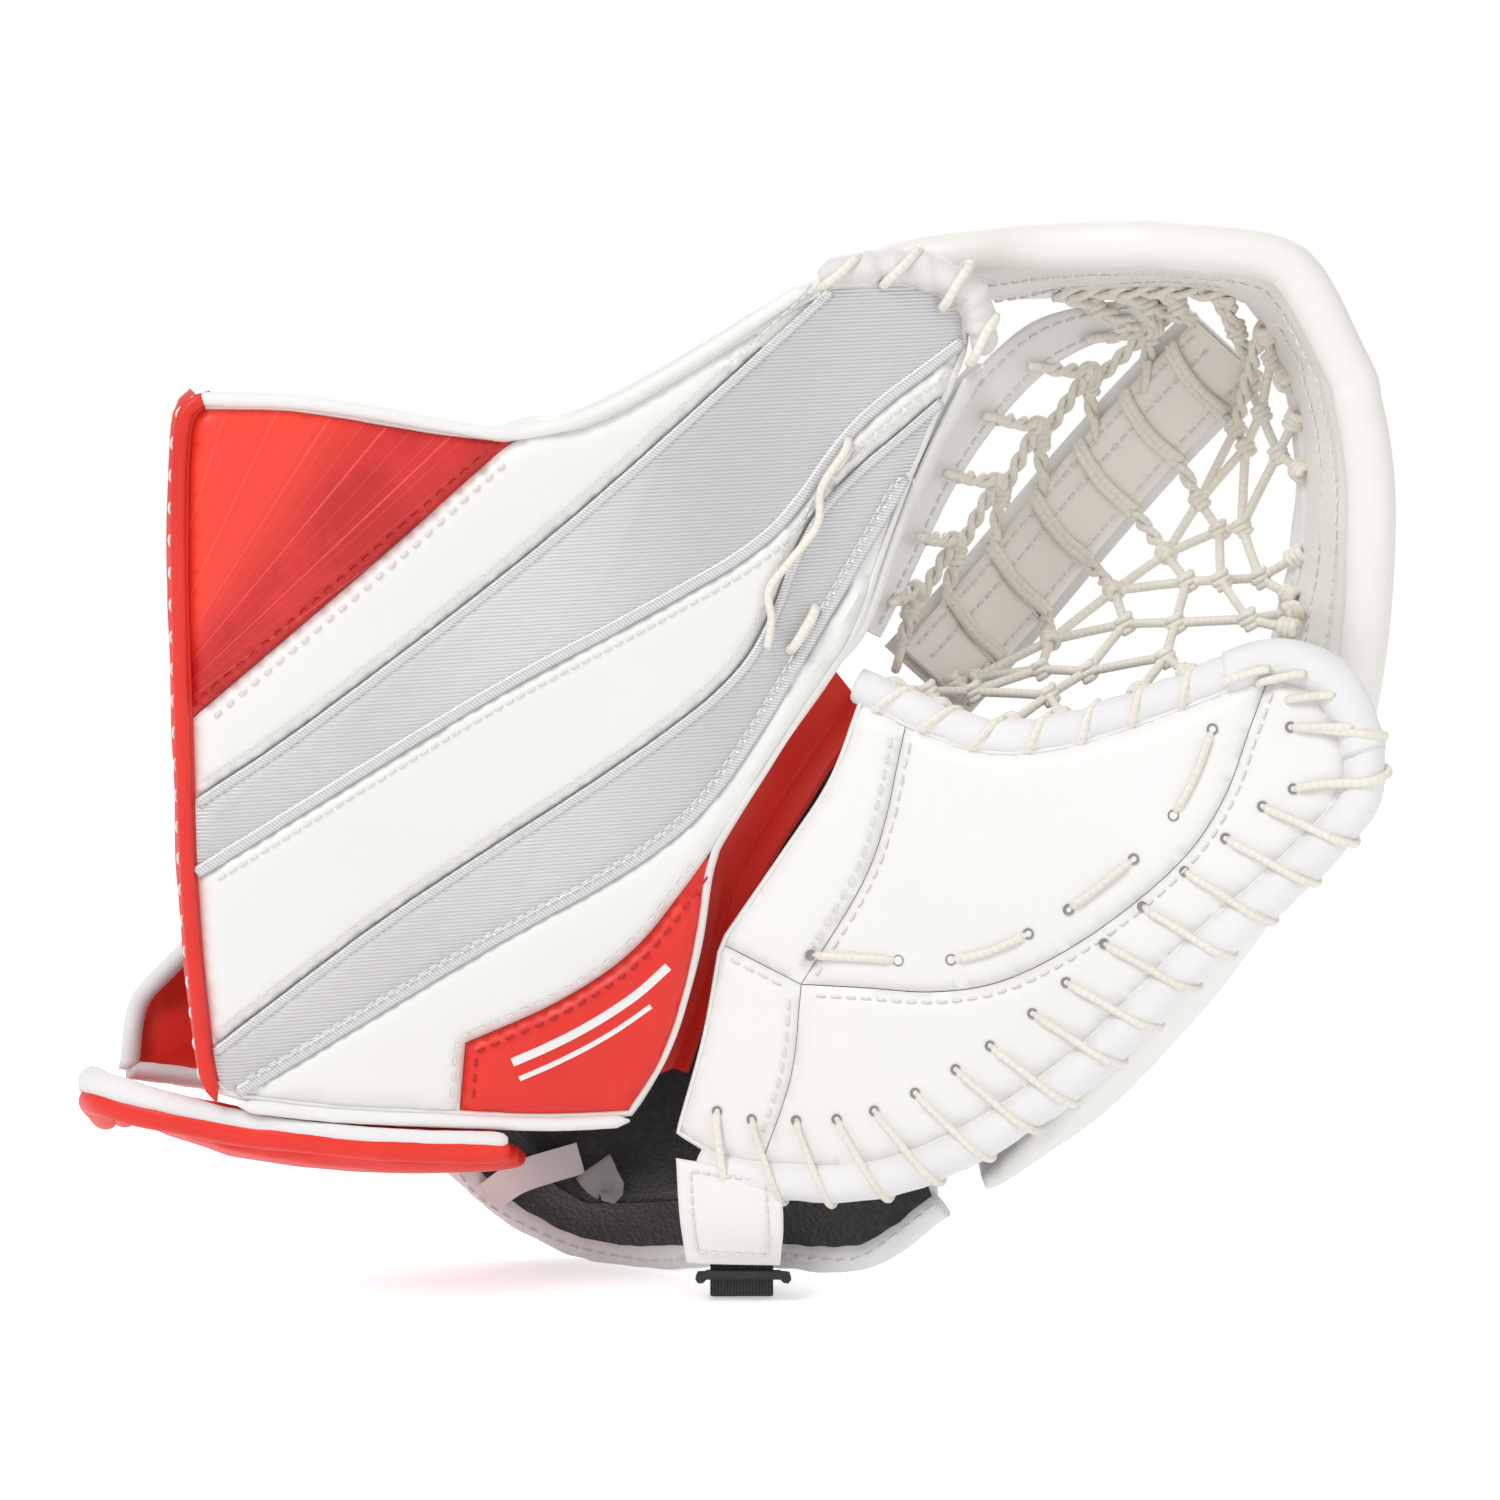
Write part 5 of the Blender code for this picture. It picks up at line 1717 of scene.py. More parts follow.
def sheet_between(name, points, normals, low, high, material, ripple=0.0):
    """Closed slab around a grid of points, between two offsets along its normals."""
    nu, nv = len(points) - 1, len(points[0]) - 1
    verts, uvs = [], []
    for offset in (high, low):
        for i in range(nu + 1):
            for k in range(nv + 1):
                wave = ripple * noise.noise(points[i][k] * 45)
                verts.append(points[i][k] + normals[i][k] * (offset + wave))
                uvs.append((i / nu, k / nv))
    obj = new_object(name, verts, slab_faces(nu, nv), material, uvs, sharp=60)
    fix_normals(obj)
    return obj


def sag(a, b, drop, count=7):
    """Path between two points that hangs back a little."""
    return [a.lerp(b, k / count) + Vector((0, drop * math.sin(math.pi * k / count), 0))
            for k in range(count + 1)]


def between(first, second, t, across, bulge):
    """A spot of the net: t along its two edges, a share across, pushed back in the middle."""
    a, b = at(first, t), at(second, t)
    return a.lerp(b, across) + Vector((0, bulge * math.sin(math.pi * across), 0))


def jitter(spot, reach=2.2 * MM):
    """A spot moved by chance, so that no row of knots is quite even."""
    return spot + Vector((random.uniform(-1, 1), random.uniform(-0.6, 0.6),
                          random.uniform(-1, 1))) * reach


def build_thumb_net(edges):
    """Twisted laces between the thumb's strap and the stem, tied in a chain of double knots."""
    marks = (0.03, 0.20, 0.37, 0.54, 0.71, 0.88)
    outer = [jitter(between(edges.skirt, edges.upper, t, 0.47, 5 * MM), 1.6 * MM) for t in marks]
    inner = [jitter(between(edges.skirt, edges.upper, t + 0.035, 0.64, 6 * MM), 1.6 * MM)
             for t in marks]
    parts = []
    for i, (left, right) in enumerate(zip(outer, inner)):
        parts += twisted(sag(left, right, 0.5 * MM, 5), 1.5 * MM, 1.3 * MM, 11 * MM)
        hole = at(edges.skirt, min(1, marks[i] + 0.05))
        parts += twisted(sag(left, hole, 1.0 * MM), pitch=15 * MM)
        parts.append(lace_cord(hook(hole, (hole - left).normalized())))
        strap = at(edges.upper, min(1, marks[i] + 0.12))
        parts += twisted(sag(right, strap, 1.2 * MM), pitch=15 * MM)
        parts.append(lace_cord(hook(strap, (strap - right).normalized())))
        if i < len(marks) - 1:
            parts += twisted(sag(left, inner[i + 1], 1.0 * MM), pitch=13 * MM)
        for spot, ahead in ((left, hole - left), (right, strap - right)):
            parts += knot(spot, ahead)
    top = at(edges.skirt, 0.0) + Vector((6, -6, 12)) * MM
    parts += twisted(sag(outer[0], top, 0.0))
    parts += twisted(sag(inner[0], at(edges.upper, 0.0) + Vector((-3, 0, 8)) * MM, 1.0 * MM))
    parts += twisted(sag(outer[-1], at(edges.upper, 1.0), 1.0 * MM))
    net = join_meshes("thumb_net_laces", parts, lace_cloth)
    bend(net, ("thumb", "pocket"), (at(edges.skirt, 0.5), at(edges.upper, 0.5)), "cream_lace",
         "net_thumb_side")


def bead(spot, size=2.0 * MM):
    """Lace bunched up inside a knot."""
    path = [spot + Vector((0, 0, 1)) * size * k for k in (-1.0, -0.5, 0.0, 0.5, 1.0)]
    return cord_part(path, size, 10, shape=lambda run, angle: 0.35 + 0.65 * math.sin(
        math.pi * min(1.0, max(0.0, run / (2 * size)))))


def hook(spot, ahead):
    """Lace end that goes through a hole in a strap and shows again behind it."""
    return smooth_curve([spot - ahead * 3 * MM, spot + ahead * 1 * MM + Vector((0, -1.6 * MM, 0)),
                         spot + ahead * 6.5 * MM + Vector((0, -1.6 * MM, 0)),
                         spot + ahead * 8.5 * MM + Vector((0, 0.6 * MM, 0))], 1 * MM)


def rim_line():
    """Where the palm side of the net ends: the band's inner face, then the palm's pocket roll."""
    roll = pocket_edge()[::-1]
    frames, half = band_frames()
    inner = []
    for front, deep, length, inward in frames[half + 9:]:
        spot = front + deep * length * 0.74 + inward * (BAND_THICKNESS + 2.2 * MM)
        if spot.z > roll[0].z + 16 * MM:
            inner.append(spot)
    lifted = [p + Vector((0, 5, 3.5)) * MM for p in roll]
    return smooth_curve(inner[::6] + lifted[3::5], 2 * MM)


PALM_NET_BULGE = 7 * MM


def diamond_rows(edges, rim, first):
    """Rows of knots between the stem and the rim, every other row shifted by half a step."""
    rows = [first]
    shift = 0.5 * (STEM_STATIONS[1] - STEM_STATIONS[0])
    for share, offset in ((0.46, shift), (0.64, 0.02), (0.82, shift)):
        marks = [min(0.985, max(0.01, t + offset)) for t in STEM_STATIONS]
        if offset == shift:
            marks = [max(0.01, STEM_STATIONS[0] - shift * 0.7)] + marks
        rows.append([jitter(between(edges.lower, rim, t, share, PALM_NET_BULGE)) for t in marks])
    return rows


def build_palm_net(edges):
    """Laces from the stem to the band and the palm: first twisted pairs, then single diamonds."""
    rim = rim_line()
    parts = []
    first = [jitter(between(edges.lower, rim, t + 0.04, 0.27, PALM_NET_BULGE))
             for t in STEM_STATIONS]
    for i, t in enumerate(STEM_STATIONS):
        hole = at(edges.lower, t)
        parts += twisted(sag(hole, first[i], 1.2 * MM), pitch=14 * MM)
        parts += [lace_cord(path) for path in across_stem(edges, t)]
        parts += knot(first[i], first[i] - hole)
    for a, b in zip(first, first[1:]):
        parts.append(lace_cord(sag(a, b, 1.0 * MM)))
    rows = diamond_rows(edges, rim, first)
    for upper, lower in zip(rows, rows[1:]):
        shorter = min(len(upper), len(lower))
        for i in range(shorter):
            pair = ((i, i), (i, i + 1)) if len(lower) > len(upper) else ((i, i), (i + 1, i))
            for a, b in pair:
                if a < len(upper) and b < len(lower):
                    parts.append(lace_cord(sag(upper[a], lower[b], 1.2 * MM)))
    for row in rows[1:]:
        for spot in row:
            parts += knot(spot, Vector((0.4, 0, -1)), 2.0 * MM)
    for spot in rows[-1]:
        near = nearest(rim, spot) / (len(rim) - 1)
        for shift in (-0.028, 0.028):
            end = at(rim, min(1.0, max(0.0, near + shift)))
            parts.append(lace_cord(sag(spot, end, 0.8 * MM)))
            parts += knot(end, end - spot, 2.3 * MM, 1.35 * MM)
    parts += twisted(sag(first[0], at(rim, 0.02), 1.0 * MM))
    parts += twisted(sag(first[-1], at(edges.lower, 1.0), 1.0 * MM))
    net = join_meshes("palm_net_laces", parts, lace_cloth)
    bend(net, ("pocket", "palm"), (at(edges.lower, 0.5), at(rim, 0.5)), "cream_lace",
         "net_palm_side")


def across_stem(edges, t):
    """Paths of two laces, side by side, over the strap's front from one edge to the other."""
    lift = 3.1 * MM
    paths = []
    for side in (-0.007, 0.007):
        span = [(t - 0.03 + side, edges.upper_v, 0.8 * MM),
                (t - 0.02 + side, 0.8 * edges.upper_v + 0.1, lift), (t + side, 0.5, lift),
                (t + side, 0.8 * edges.lower_v + 0.1, lift), (t + side, edges.lower_v, 0.8 * MM)]
        paths.append(smooth_curve([stem.point(u, v) + stem.normal(u, v) * up for u, v, up in span],
                                  1.5 * MM))
    return paths


def build_top_laces(edges):
    """Laces that tie the net's top to the inside of the band."""
    frames, half = band_frames()
    inner = [front + deep * length * 0.68 + inward * (BAND_THICKNESS + 1.8 * MM)
             for front, deep, length, inward in frames[int(half * 0.42):half - 5]]
    inner = spaced(inner, 2 * MM)
    parts = twisted(inner, 1.35 * MM, 1.3 * MM, 15 * MM)
    ends = [at(edges.skirt, 0.0), at(edges.upper, 0.0), at(edges.upper, 0.0), at(edges.lower, 0.0)]
    for t, end in zip((0.06, 0.34, 0.62, 0.93), ends):
        spot = at(inner, t)
        low = spot.lerp(end, 0.42) + Vector((0, 2, 0)) * MM
        for side in (-4, 4):
            start = at(inner, t + side * 0.008)
            parts += twisted(sag(start, low, 0.6 * MM), pitch=14 * MM)
        parts += twisted(sag(low, end, 1.0 * MM), pitch=14 * MM)
        parts += knot(low, Vector((0.3, 0, -1)))
    net = join_meshes("band_top_laces", parts, lace_cloth)
    bend(net, ("thumb", "pocket"), (at(inner, 0.1), at(edges.upper, 0.0)), "cream_lace")


def build_net():
    edges = NetEdges()
    build_stem()
    build_thumb_net(edges)
    build_palm_net(edges)
    build_top_laces(edges)


# ---------------------------------------------------------------- palm and fingers

def palm_height(x, z, distance):
    """Palm padding: soft, with broad hollows and small puckers beside its seams."""
    full = swell(distance, 6 * MM)
    wave = noise.noise(Vector((x * 26, z * 26, 7.7))) * 0.55 * MM
    pucker = noise.noise(Vector((x * 170, z * 170, 2.0))) * 0.25 * MM
    near = max(0.0, 1 - distance / (10 * MM))
    return -0.9 * MM + 2.4 * MM * full + wave * full + pucker * near * full


def build_palm_panels():
    """The padded skins of the palm's four panels."""
    for node in PALM_PANELS:
        sheet = leaf_sheet(node + "_skin", palm, outlines[node], PANEL_CELL, palm_height,
                           white_soft)
        place(sheet, "palm", "white_leather", node)


def build_palm_stitches():
    """Double rows along the break strip, single rows elsewhere."""
    rows = [("palm_centre_panel", "palm_fold_panel", 2.6),
            ("palm_fold_panel", "palm_centre_panel", 2.6),
            ("palm_outer_panel", "palm_centre_panel", 2.8),
            ("palm_heel_panel", "palm_fold_panel", 2.4),
            ("palm_heel_panel", "palm_outer_panel", 2.4)]
    for number, (panel, other, inset) in enumerate(rows, 1):
        along_seam(f"palm_stitches_{number}", panel, other, palm, inset * MM, "palm", white_thread,
                   "white_leather", palm_height, length=2.8 * MM, gap=1.8 * MM)


def palm_edge(node, start, end, reach, lift):
    """Path of a roll along the palm's rim between two spots, on the CAD cord's side."""
    rim = rim_of(PALM_PANELS)
    runs = both_ways(offset_closed(rim, reach), rim, start, end)
    middle = flat_of(at(centre_line(node), 0.5))
    run = min(runs, key=lambda r: min((p - middle).length for p in r))
    return smooth_curve([palm.point(*p, lift) for p in [*run[:-1:5], run[-1]]], 1.6 * MM)


def rim_corner(across, up):
    """The palm's outline point that lies farthest in a direction."""
    return max(rim_of(PALM_PANELS), key=lambda p: p.x * across + p.y * up)


def pocket_edge():
    """Roll along the pocket side, from the thumb's end to the fingertip corner."""
    start = rim_corner(-1, 1.2)
    end = rim_corner(1, 1) + Vector((-6, 3)) * MM
    return palm_edge("pocket_edge_roll", start, end, 4.6 * MM, -3.4 * MM)


def finger_edge():
    """Roll around the fingers, from the fingertip corner to the heel's lower end."""
    start = rim_corner(1, 1) + Vector((2, -2)) * MM
    end = rim_corner(-1, -1) + Vector((9, -3)) * MM
    return palm_edge("finger_edge_roll", start, end, 4.9 * MM, -2.6 * MM)


def inward_of(roll, t):
    """Flat direction from the roll towards the palm."""
    ahead = at(roll, min(1, t + 0.02)) - at(roll, max(0, t - 0.02))
    flat = Vector((ahead.x, ahead.z)).normalized()
    inward = Vector((flat.y, -flat.x))
    middle = middle_of("palm_centre_panel")
    here = flat_of(at(roll, t))
    return inward if inward.dot(middle - here) > 0 else -inward


WRAPS = 17
FINGER_ROLL = 5.8 * MM
LACE_LIFT = 0.9 * MM


def whip_turn(roll, t):
    """One turn of the whip lace at a share of the roll: its path and its hole as (x, z)."""
    inward = inward_of(roll, t)
    spot = at(roll, t)
    flat = flat_of(spot)
    sideways = Vector((-inward.y, inward.x))
    if sideways.x < 0:
        sideways = -sideways
    reach = 17 + 4 * t * (1 - t) * 4
    eye = flat + (inward * reach - sideways * 6) * MM
    path = [palm.point(eye.x, eye.y, -0.3 * MM)]
    for share, slide in ((0.86, -5.2), (0.55, -3.2)):
        p = flat + (inward * reach * share + sideways * slide) * MM
        path.append(palm.point(p.x, p.y, 3.0 * MM))
    pair = Vector((-inward.x, 0, -inward.y)), PALM_SIDE
    along = Vector((sideways.x, 0, sideways.y))
    for degrees, slide in ((100, -0.5), (62, 1.2), (28, 2.4), (-8, 3.6), (-45, 4.8)):
        ring = around(pair, math.radians(degrees))
        path.append(spot + ring * (FINGER_ROLL + LACE_LIFT) + along * slide * MM)
    return path, eye


def build_finger_edge():
    """Cloth-covered roll along the fingers, whipped on with one long slanting lace."""
    roll = finger_edge()
    part = cord_part(roll, FINGER_ROLL, 22, up=PALM_SIDE, shape=wrinkled(0.09, 90, 4.0))
    put("finger_edge_cloth", [part], nylon, "palm", "white_nylon", "finger_edge_roll")
    parts, holes = [], []
    for i in range(WRAPS):
        t = 0.04 + 0.94 * (i + random.uniform(-0.12, 0.12)) / (WRAPS - 1)
        path, eye = whip_turn(roll, min(0.985, max(0.015, t)))
        parts.append(lace_cord(smooth_curve(path, 1.5 * MM), 1.3 * MM, 0.8))
        lift = palm_height(eye.x, eye.y, 1.0) + 0.4 * MM
        holes.append(eyelet(palm.point(eye.x, eye.y, lift), palm.normal(eye.x, eye.y), 1.6 * MM))
    put("finger_edge_laces", parts, lace_cloth, "palm", "cream_lace", "finger_edge_lace")
    put("finger_edge_holes", holes, hole_shade, "palm", "white_leather")


def build_pocket_edge():
    """Soft roll along the pocket side of the palm, bound tight by a slanting lace."""
    path = pocket_edge()
    pitch, radius = 15.5 * MM, 5.4 * MM

    def waisted(run, angle):
        waist = abs(math.sin(math.pi * run / pitch + angle * 0.25))
        crease = noise.noise(Vector((run * 160, math.cos(angle), 0)))
        return 0.86 + 0.18 * waist ** 0.6 + 0.05 * crease

    part = cord_part(path, radius, 22, up=PALM_SIDE, shape=waisted)
    put("pocket_edge_cloth", [part], nylon, "palm", "white_nylon", "pocket_edge_roll")
    parts = []
    total = length_of(path)
    frames = frames_along(path, PALM_SIDE)
    for i in range(int(total / pitch)):
        start = (i + 0.6) * pitch / total
        line = []
        for k in range(17):
            t = min(1.0, max(0.0, start + (k / 16 - 0.5) * 0.95 * pitch / total))
            n = min(len(path) - 1, max(0, round(t * (len(path) - 1))))
            angle = -0.45 * math.pi + 1.5 * math.pi * k / 16
            line.append(at(path, t) + around(frames[n], angle) * radius)
        parts.append(lace_cord(smooth_curve(line, 1.2 * MM), 1.3 * MM))
    put("pocket_edge_laces", parts, lace_cloth, "palm", "cream_lace", "pocket_edge_lace")


def build_fingertip():
    """Soft padded corner over the fingertips, held by a few short stitches of lace."""
    corner = rim_corner(1, 1)
    ring = [p for p in offset_closed(rim_of(PALM_PANELS), 4.7 * MM)
            if (p - corner).length < 26 * MM]
    ring.sort(key=lambda p: p.x - p.y)
    path = smooth_curve([palm.point(*p, -2.6 * MM) for p in ring[::4]], 1.6 * MM)
    part = cord_part(path, 6.6 * MM, 22, up=PALM_SIDE, shape=wrinkled(0.14, 75, 11.0))
    put("fingertip_cloth", [part], nylon, "palm", "white_nylon")
    parts = []
    middle = middle_of("palm_centre_panel")
    for t in (0.22, 0.42, 0.62, 0.82):
        spot = flat_of(at(path, t))
        inward = (middle - spot).normalized()
        side = Vector((-inward.y, inward.x))
        line = [palm.point(*(spot + (inward * reach + side * slide) * MM), lift * MM)
                for reach, slide, lift in ((14, -3, 0.2), (12.5, -2.6, 3.0), (8, -1, 3.6),
                                           (3, 1, 4.6), (1.0, 2, 3.4))]
        parts.append(lace_cord(smooth_curve(line, 1.2 * MM), 1.25 * MM))
    put("fingertip_laces", parts, lace_cloth, "palm", "cream_lace")


def build_palm_laces():
    """Long lace stitches across the outer band of the palm."""
    inner = rightwards(shared_edge("palm_outer_panel", "palm_centre_panel"))
    side = towards(inner, middle_of("palm_outer_panel"))
    shifted = offset_flat(inner, side * 9 * MM)
    parts, holes = [], []
    for start, end in ((0.02, 0.17), (0.26, 0.40), (0.48, 0.62), (0.72, 0.88)):
        line = []
        for k in range(9):
            t = start + (end - start) * k / 8
            spot = at(shifted, t)
            lift = -0.6 if k in (0, 8) else 2.6
            line.append(palm.point(spot.x, spot.y, lift * MM))
        parts.append(lace_cord(smooth_curve(line, 1.5 * MM), 1.25 * MM, 0.75))
        for t in (start, end):
            spot = at(shifted, t)
            holes.append(eyelet(palm.point(spot.x, spot.y, 1.7 * MM), palm.normal(spot.x, spot.y)))
    put("palm_long_laces", parts, lace_cloth, "palm", "cream_lace")
    put("palm_lace_holes", holes, hole_shade, "palm", "white_leather")


PALM_LINING_FRONT = -9.3 * MM
PALM_LINING_BACK = -11.2 * MM


def build_palm_backing():
    """Lining behind the palm's skin, and the finger stalls."""
    for node in ("index_stall", "middle_stall", "ring_stall", "little_stall"):
        place(sewn_stall(node + "_cloth", node), "palm", "black_lining", node)
    loop = rim_of(PALM_PANELS)
    back = leaf_sheet("palm_back_lining", palm, offset_closed(loop, -1.5 * MM), LINING_CELL,
                      lambda x, z, d: PALM_LINING_FRONT, lining, depth=0.0)
    set_back(back, palm, PALM_LINING_BACK)
    place(back, "palm", "black_lining", "palm_lining")


def build_palm_side():
    """Soft side of the palm slab, all around, under its rolls."""
    loop = rim_of(PALM_PANELS)
    middle = sum(loop, Vector((0, 0))) / len(loop)
    profile = [(0.0, 0.2), (-2.0, 1.1), (-5.5, 1.6), (-9.0, 1.0), (-11.0, -0.6)]
    verts, uvs = [], []
    moved = [offset_closed(loop, out * MM) for _, out in profile]
    for i in range(len(loop)):
        for k, (lift, _) in enumerate(profile):
            flat = moved[k][i]
            verts.append(palm.point(flat.x, flat.y, lift * MM))
            uvs.append((i * 3 * MM, k * 3 * MM))
    faces = strip_faces(len(loop), len(profile), closed=True)
    obj = new_object("palm_side", verts, faces, white_soft, uvs)
    face_outwards(obj, palm.point(middle.x, middle.y, -5 * MM))
    thicken(obj, 1.0 * MM)
    place(obj, "palm", "white_leather")


def build_gusset():
    """Red folding web between the board and the palm, in two halves that meet in a fold."""
    web = Patch("fold_gusset", (0, -1, 0), (-1, 0, -1), (0, 0, 1), 75)
    points, normals = web.grid(44, 24)
    if points[22][0].x > points[22][-1].x:
        points, normals = [row[::-1] for row in points], [row[::-1] for row in normals]
    hem = []
    for row, outs in zip(points, normals):
        away = (row[0] - row[3]).normalized()
        hem.append([row[0] + (away * reach + Vector((0, -0.25, 0)) * reach) * MM
                    for reach in (13, 9, 4.5)])
        outs[:0] = [outs[0]] * 3
    points = [extra + row for extra, row in zip(hem, points)]
    middle = 15
    for name, columns, bodies in (("gusset_thumb_side", slice(0, middle + 1), ("thumb", "pocket")),
                                  ("gusset_palm_side", slice(middle, 28), ("pocket", "palm"))):
        part = [row[columns] for row in points]
        outs = [row[columns] for row in normals]
        obj = sheet_between(name, part, outs, -0.9 * MM, 0.7 * MM, red, 1.3 * MM)
        bend(obj, bodies, (part[22][0], part[22][-1]), "red_leather", "fold_gusset")


def build_finger_shell():
    """Padded shell over the fingers' backs, stuffed, with sewn channels."""
    pad = inflated("finger_back_cushion", "finger_back_shell", white_soft, 5.0, 5.0, 1.0)
    cuts = upright_cuts("finger_back_shell", (0.33, 0.62), 0.25, 0.0, 0.0, 24)
    press_channels(pad, cuts, (0.3, 1, 0), 1.8 * MM, 2.6 * MM)
    place(pad, "palm", "white_leather", "finger_back_shell")


def build_palm():
    build_palm_panels()
    build_palm_stitches()
    build_finger_edge()
    build_pocket_edge()
    build_fingertip()
    build_palm_laces()
    build_palm_backing()
    build_palm_side()
    build_gusset()
    build_finger_shell()


# ---------------------------------------------------------------- backhand, wrist and cuff wrap

def build_backhand():
    """Stuffed pad over the back of the hand, lined in black and bound in white."""
    pad = inflated("backhand_cushion", "backhand_pad", white_soft, 5.0, 1.8, 1.4)
    cuts = upright_cuts("backhand_pad", (0.27, 0.5, 0.73), 0.0, 20 * MM, 10 * MM, 30)
    press_channels(pad, cuts, (0, 1, 0.2), 2.2 * MM, 2.8 * MM)
    place(pad, "backhand", "white_leather", "backhand_pad")
    inner = Patch("backhand_lining", (0, -1, 0), (-1, 0, -1), (1, 0, 0), 60)
    cloth = soft_patch("backhand_lining_cloth", inner, 56, 44, 0.6 * MM, 1.4 * MM, lining, 0.06,
                       1.2 * MM, 50)
    place(cloth, "backhand", "black_lining", "backhand_lining")
    outer = Patch("backhand_pad", (0, 1, 0), (-1, 0, -1), (1, 0, 0), 60)
    bottom = rightwards(centre_line("backhand_binding", 1.4 * MM))
    bound, row = bound_edge(outer.low, bottom)
    join = join_meshes("backhand_binding_cloth", [bound], nylon)
    for vert in join.data.vertices:
        vert.co.z = max(vert.co.z, 0.0)
    place(join, "backhand", "white_nylon", "backhand_binding")
    stitch = stitch_parts(row, lambda spot: Vector((0, -1, 0.3)).normalized(), 2.6 * MM, 2.0 * MM)
    put("backhand_binding_stitches", stitch, white_thread, "backhand", "white_nylon")
    build_lining_hem(inner.left + inner.high[1:], bottom)
    build_lining_tapes(inner, bottom)


def build_lining_hem(edge, bottom):
    """Lower strip of the lining, from the cushion's face down to the binding."""
    count = int(length_of(bottom) / (3 * MM))
    points, normals = [], []
    for i in range(count + 1):
        start = at(edge, i / count) + Vector((0, -1.2, 1.5)) * MM
        end = at(bottom, i / count) + Vector((0, -0.5, 1.5)) * MM
        sag = Vector((0, 1.0, 0)) * MM
        points.append([start.lerp(end, k / 6) + sag * math.sin(math.pi * k / 6) for k in range(7)])
        normals.append([Vector((0, -1, 0.1)).normalized()] * 7)
    hem = sheet_between("lining_hem", points, normals, -0.4 * MM, 0.4 * MM, lining, 0.3 * MM)
    place(hem, "backhand", "black_lining")


def bound_edge(outer, inner):
    """Binding tape wrapped round a pad's edge: its (verts, faces, uvs) and its stitch row."""
    count = int(length_of(outer) / (1.6 * MM))
    sides = 24
    verts, uvs, row = [], [], []
    middles = [(at(outer, i / count) + at(inner, i / count)) / 2 for i in range(count + 1)]
    for i, (middle, ahead) in enumerate(zip(middles, tangents(middles))):
        wide = at(inner, i / count) - at(outer, i / count)
        wide = wide - ahead * wide.dot(ahead)
        down = wide.normalized().cross(ahead)
        if down.z > 0:
            down = -down
        reach = wide.length / 2 + 1.6 * MM
        for k in range(sides):
            angle = TURN * k / sides
            crease = 1 + 0.10 * noise.noise(Vector((i * 0.25, math.cos(angle), math.sin(angle))))
            flat = math.copysign(abs(math.sin(angle)) ** 0.7, math.sin(angle))
            verts.append(middle + wide.normalized() * math.cos(angle) * reach * crease
                         + down * (flat * 4.6 * MM * crease))
            uvs.append((i * 1.6 * MM, k / sides))
        row.append(middle + wide.normalized() * (reach + 0.3 * MM) - down * 2.2 * MM)
    return (verts, tube_faces(count + 1, sides), uvs), row


def build_lining_tapes(inner, bottom):
    """Pale tape across the lining and the grey reinforcement beside it."""
    path = inner.line([(0.16, 0.70), (0.06, 0.66), (0.0, 0.60)], 4.4 * MM, 2.5 * MM)
    foot = at(bottom, 0.15) + Vector((0, -4.6, 2.5)) * MM
    crest = path[-1].lerp(foot, 0.35) + Vector((0, -2.0, 0)) * MM
    path = smooth_curve(path[:-4:4] + [crest, foot], 2 * MM)
    place(tape_along(path, "lining_tape", lambda share: 10 * MM, pink_nylon), "backhand",
          "white_nylon")
    path = inner.line([(0.17, 0.74), (0.13, 0.90), (0.08, 1.0)], 3.6 * MM, 2 * MM)
    place(tape_along(path, "lining_patch", lambda share: (13 - 9 * share ** 2) * MM, stiff_grey),
          "backhand", "black_lining")


def tape_along(path, name, width, material):
    """A flat tape facing the palm; its width depends on how far along it is."""
    out = Vector((0, -1, 0.15)).normalized()
    points, normals = [], []
    for i, (spot, ahead) in enumerate(zip(path, tangents(path))):
        side = ahead.cross(out).normalized() * width(i / (len(path) - 1))
        points.append([spot + side * (k / 6 - 0.5) for k in range(7)])
        normals.append([out] * 7)
    return sheet_between(name, points, normals, -0.5 * MM, 0.5 * MM, material, 0.3 * MM)


def build_wrist_pad():
    """Stuffed red pad at the wrist, bound in white on two sides."""
    pad = inflated("wrist_cushion", "wrist_pad", red, 4.5, 4.5, 1.0)
    place(pad, "backhand", "red_leather", "wrist_pad")
    face = Patch("wrist_pad", (0, -1, 0), (-1, 0, -1), (1, 0, 0), 60)
    rim = face.line([(0.0, 1.0), (0.0, 0.66), (0.0, 0.33), (0.0, 0.0)], 2 * MM)
    low_rim = face.line([(0.0, 0.0), (0.33, 0.0), (0.66, 0.0), (1.0, 0.0)], 2 * MM)
    parts = [cord_part(path, 3.0 * MM, 14, shape=wrinkled(0.10, 130, 2.0))
             for path in (rim, low_rim)]
    put("wrist_pad_binding", parts, nylon, "backhand", "white_nylon")


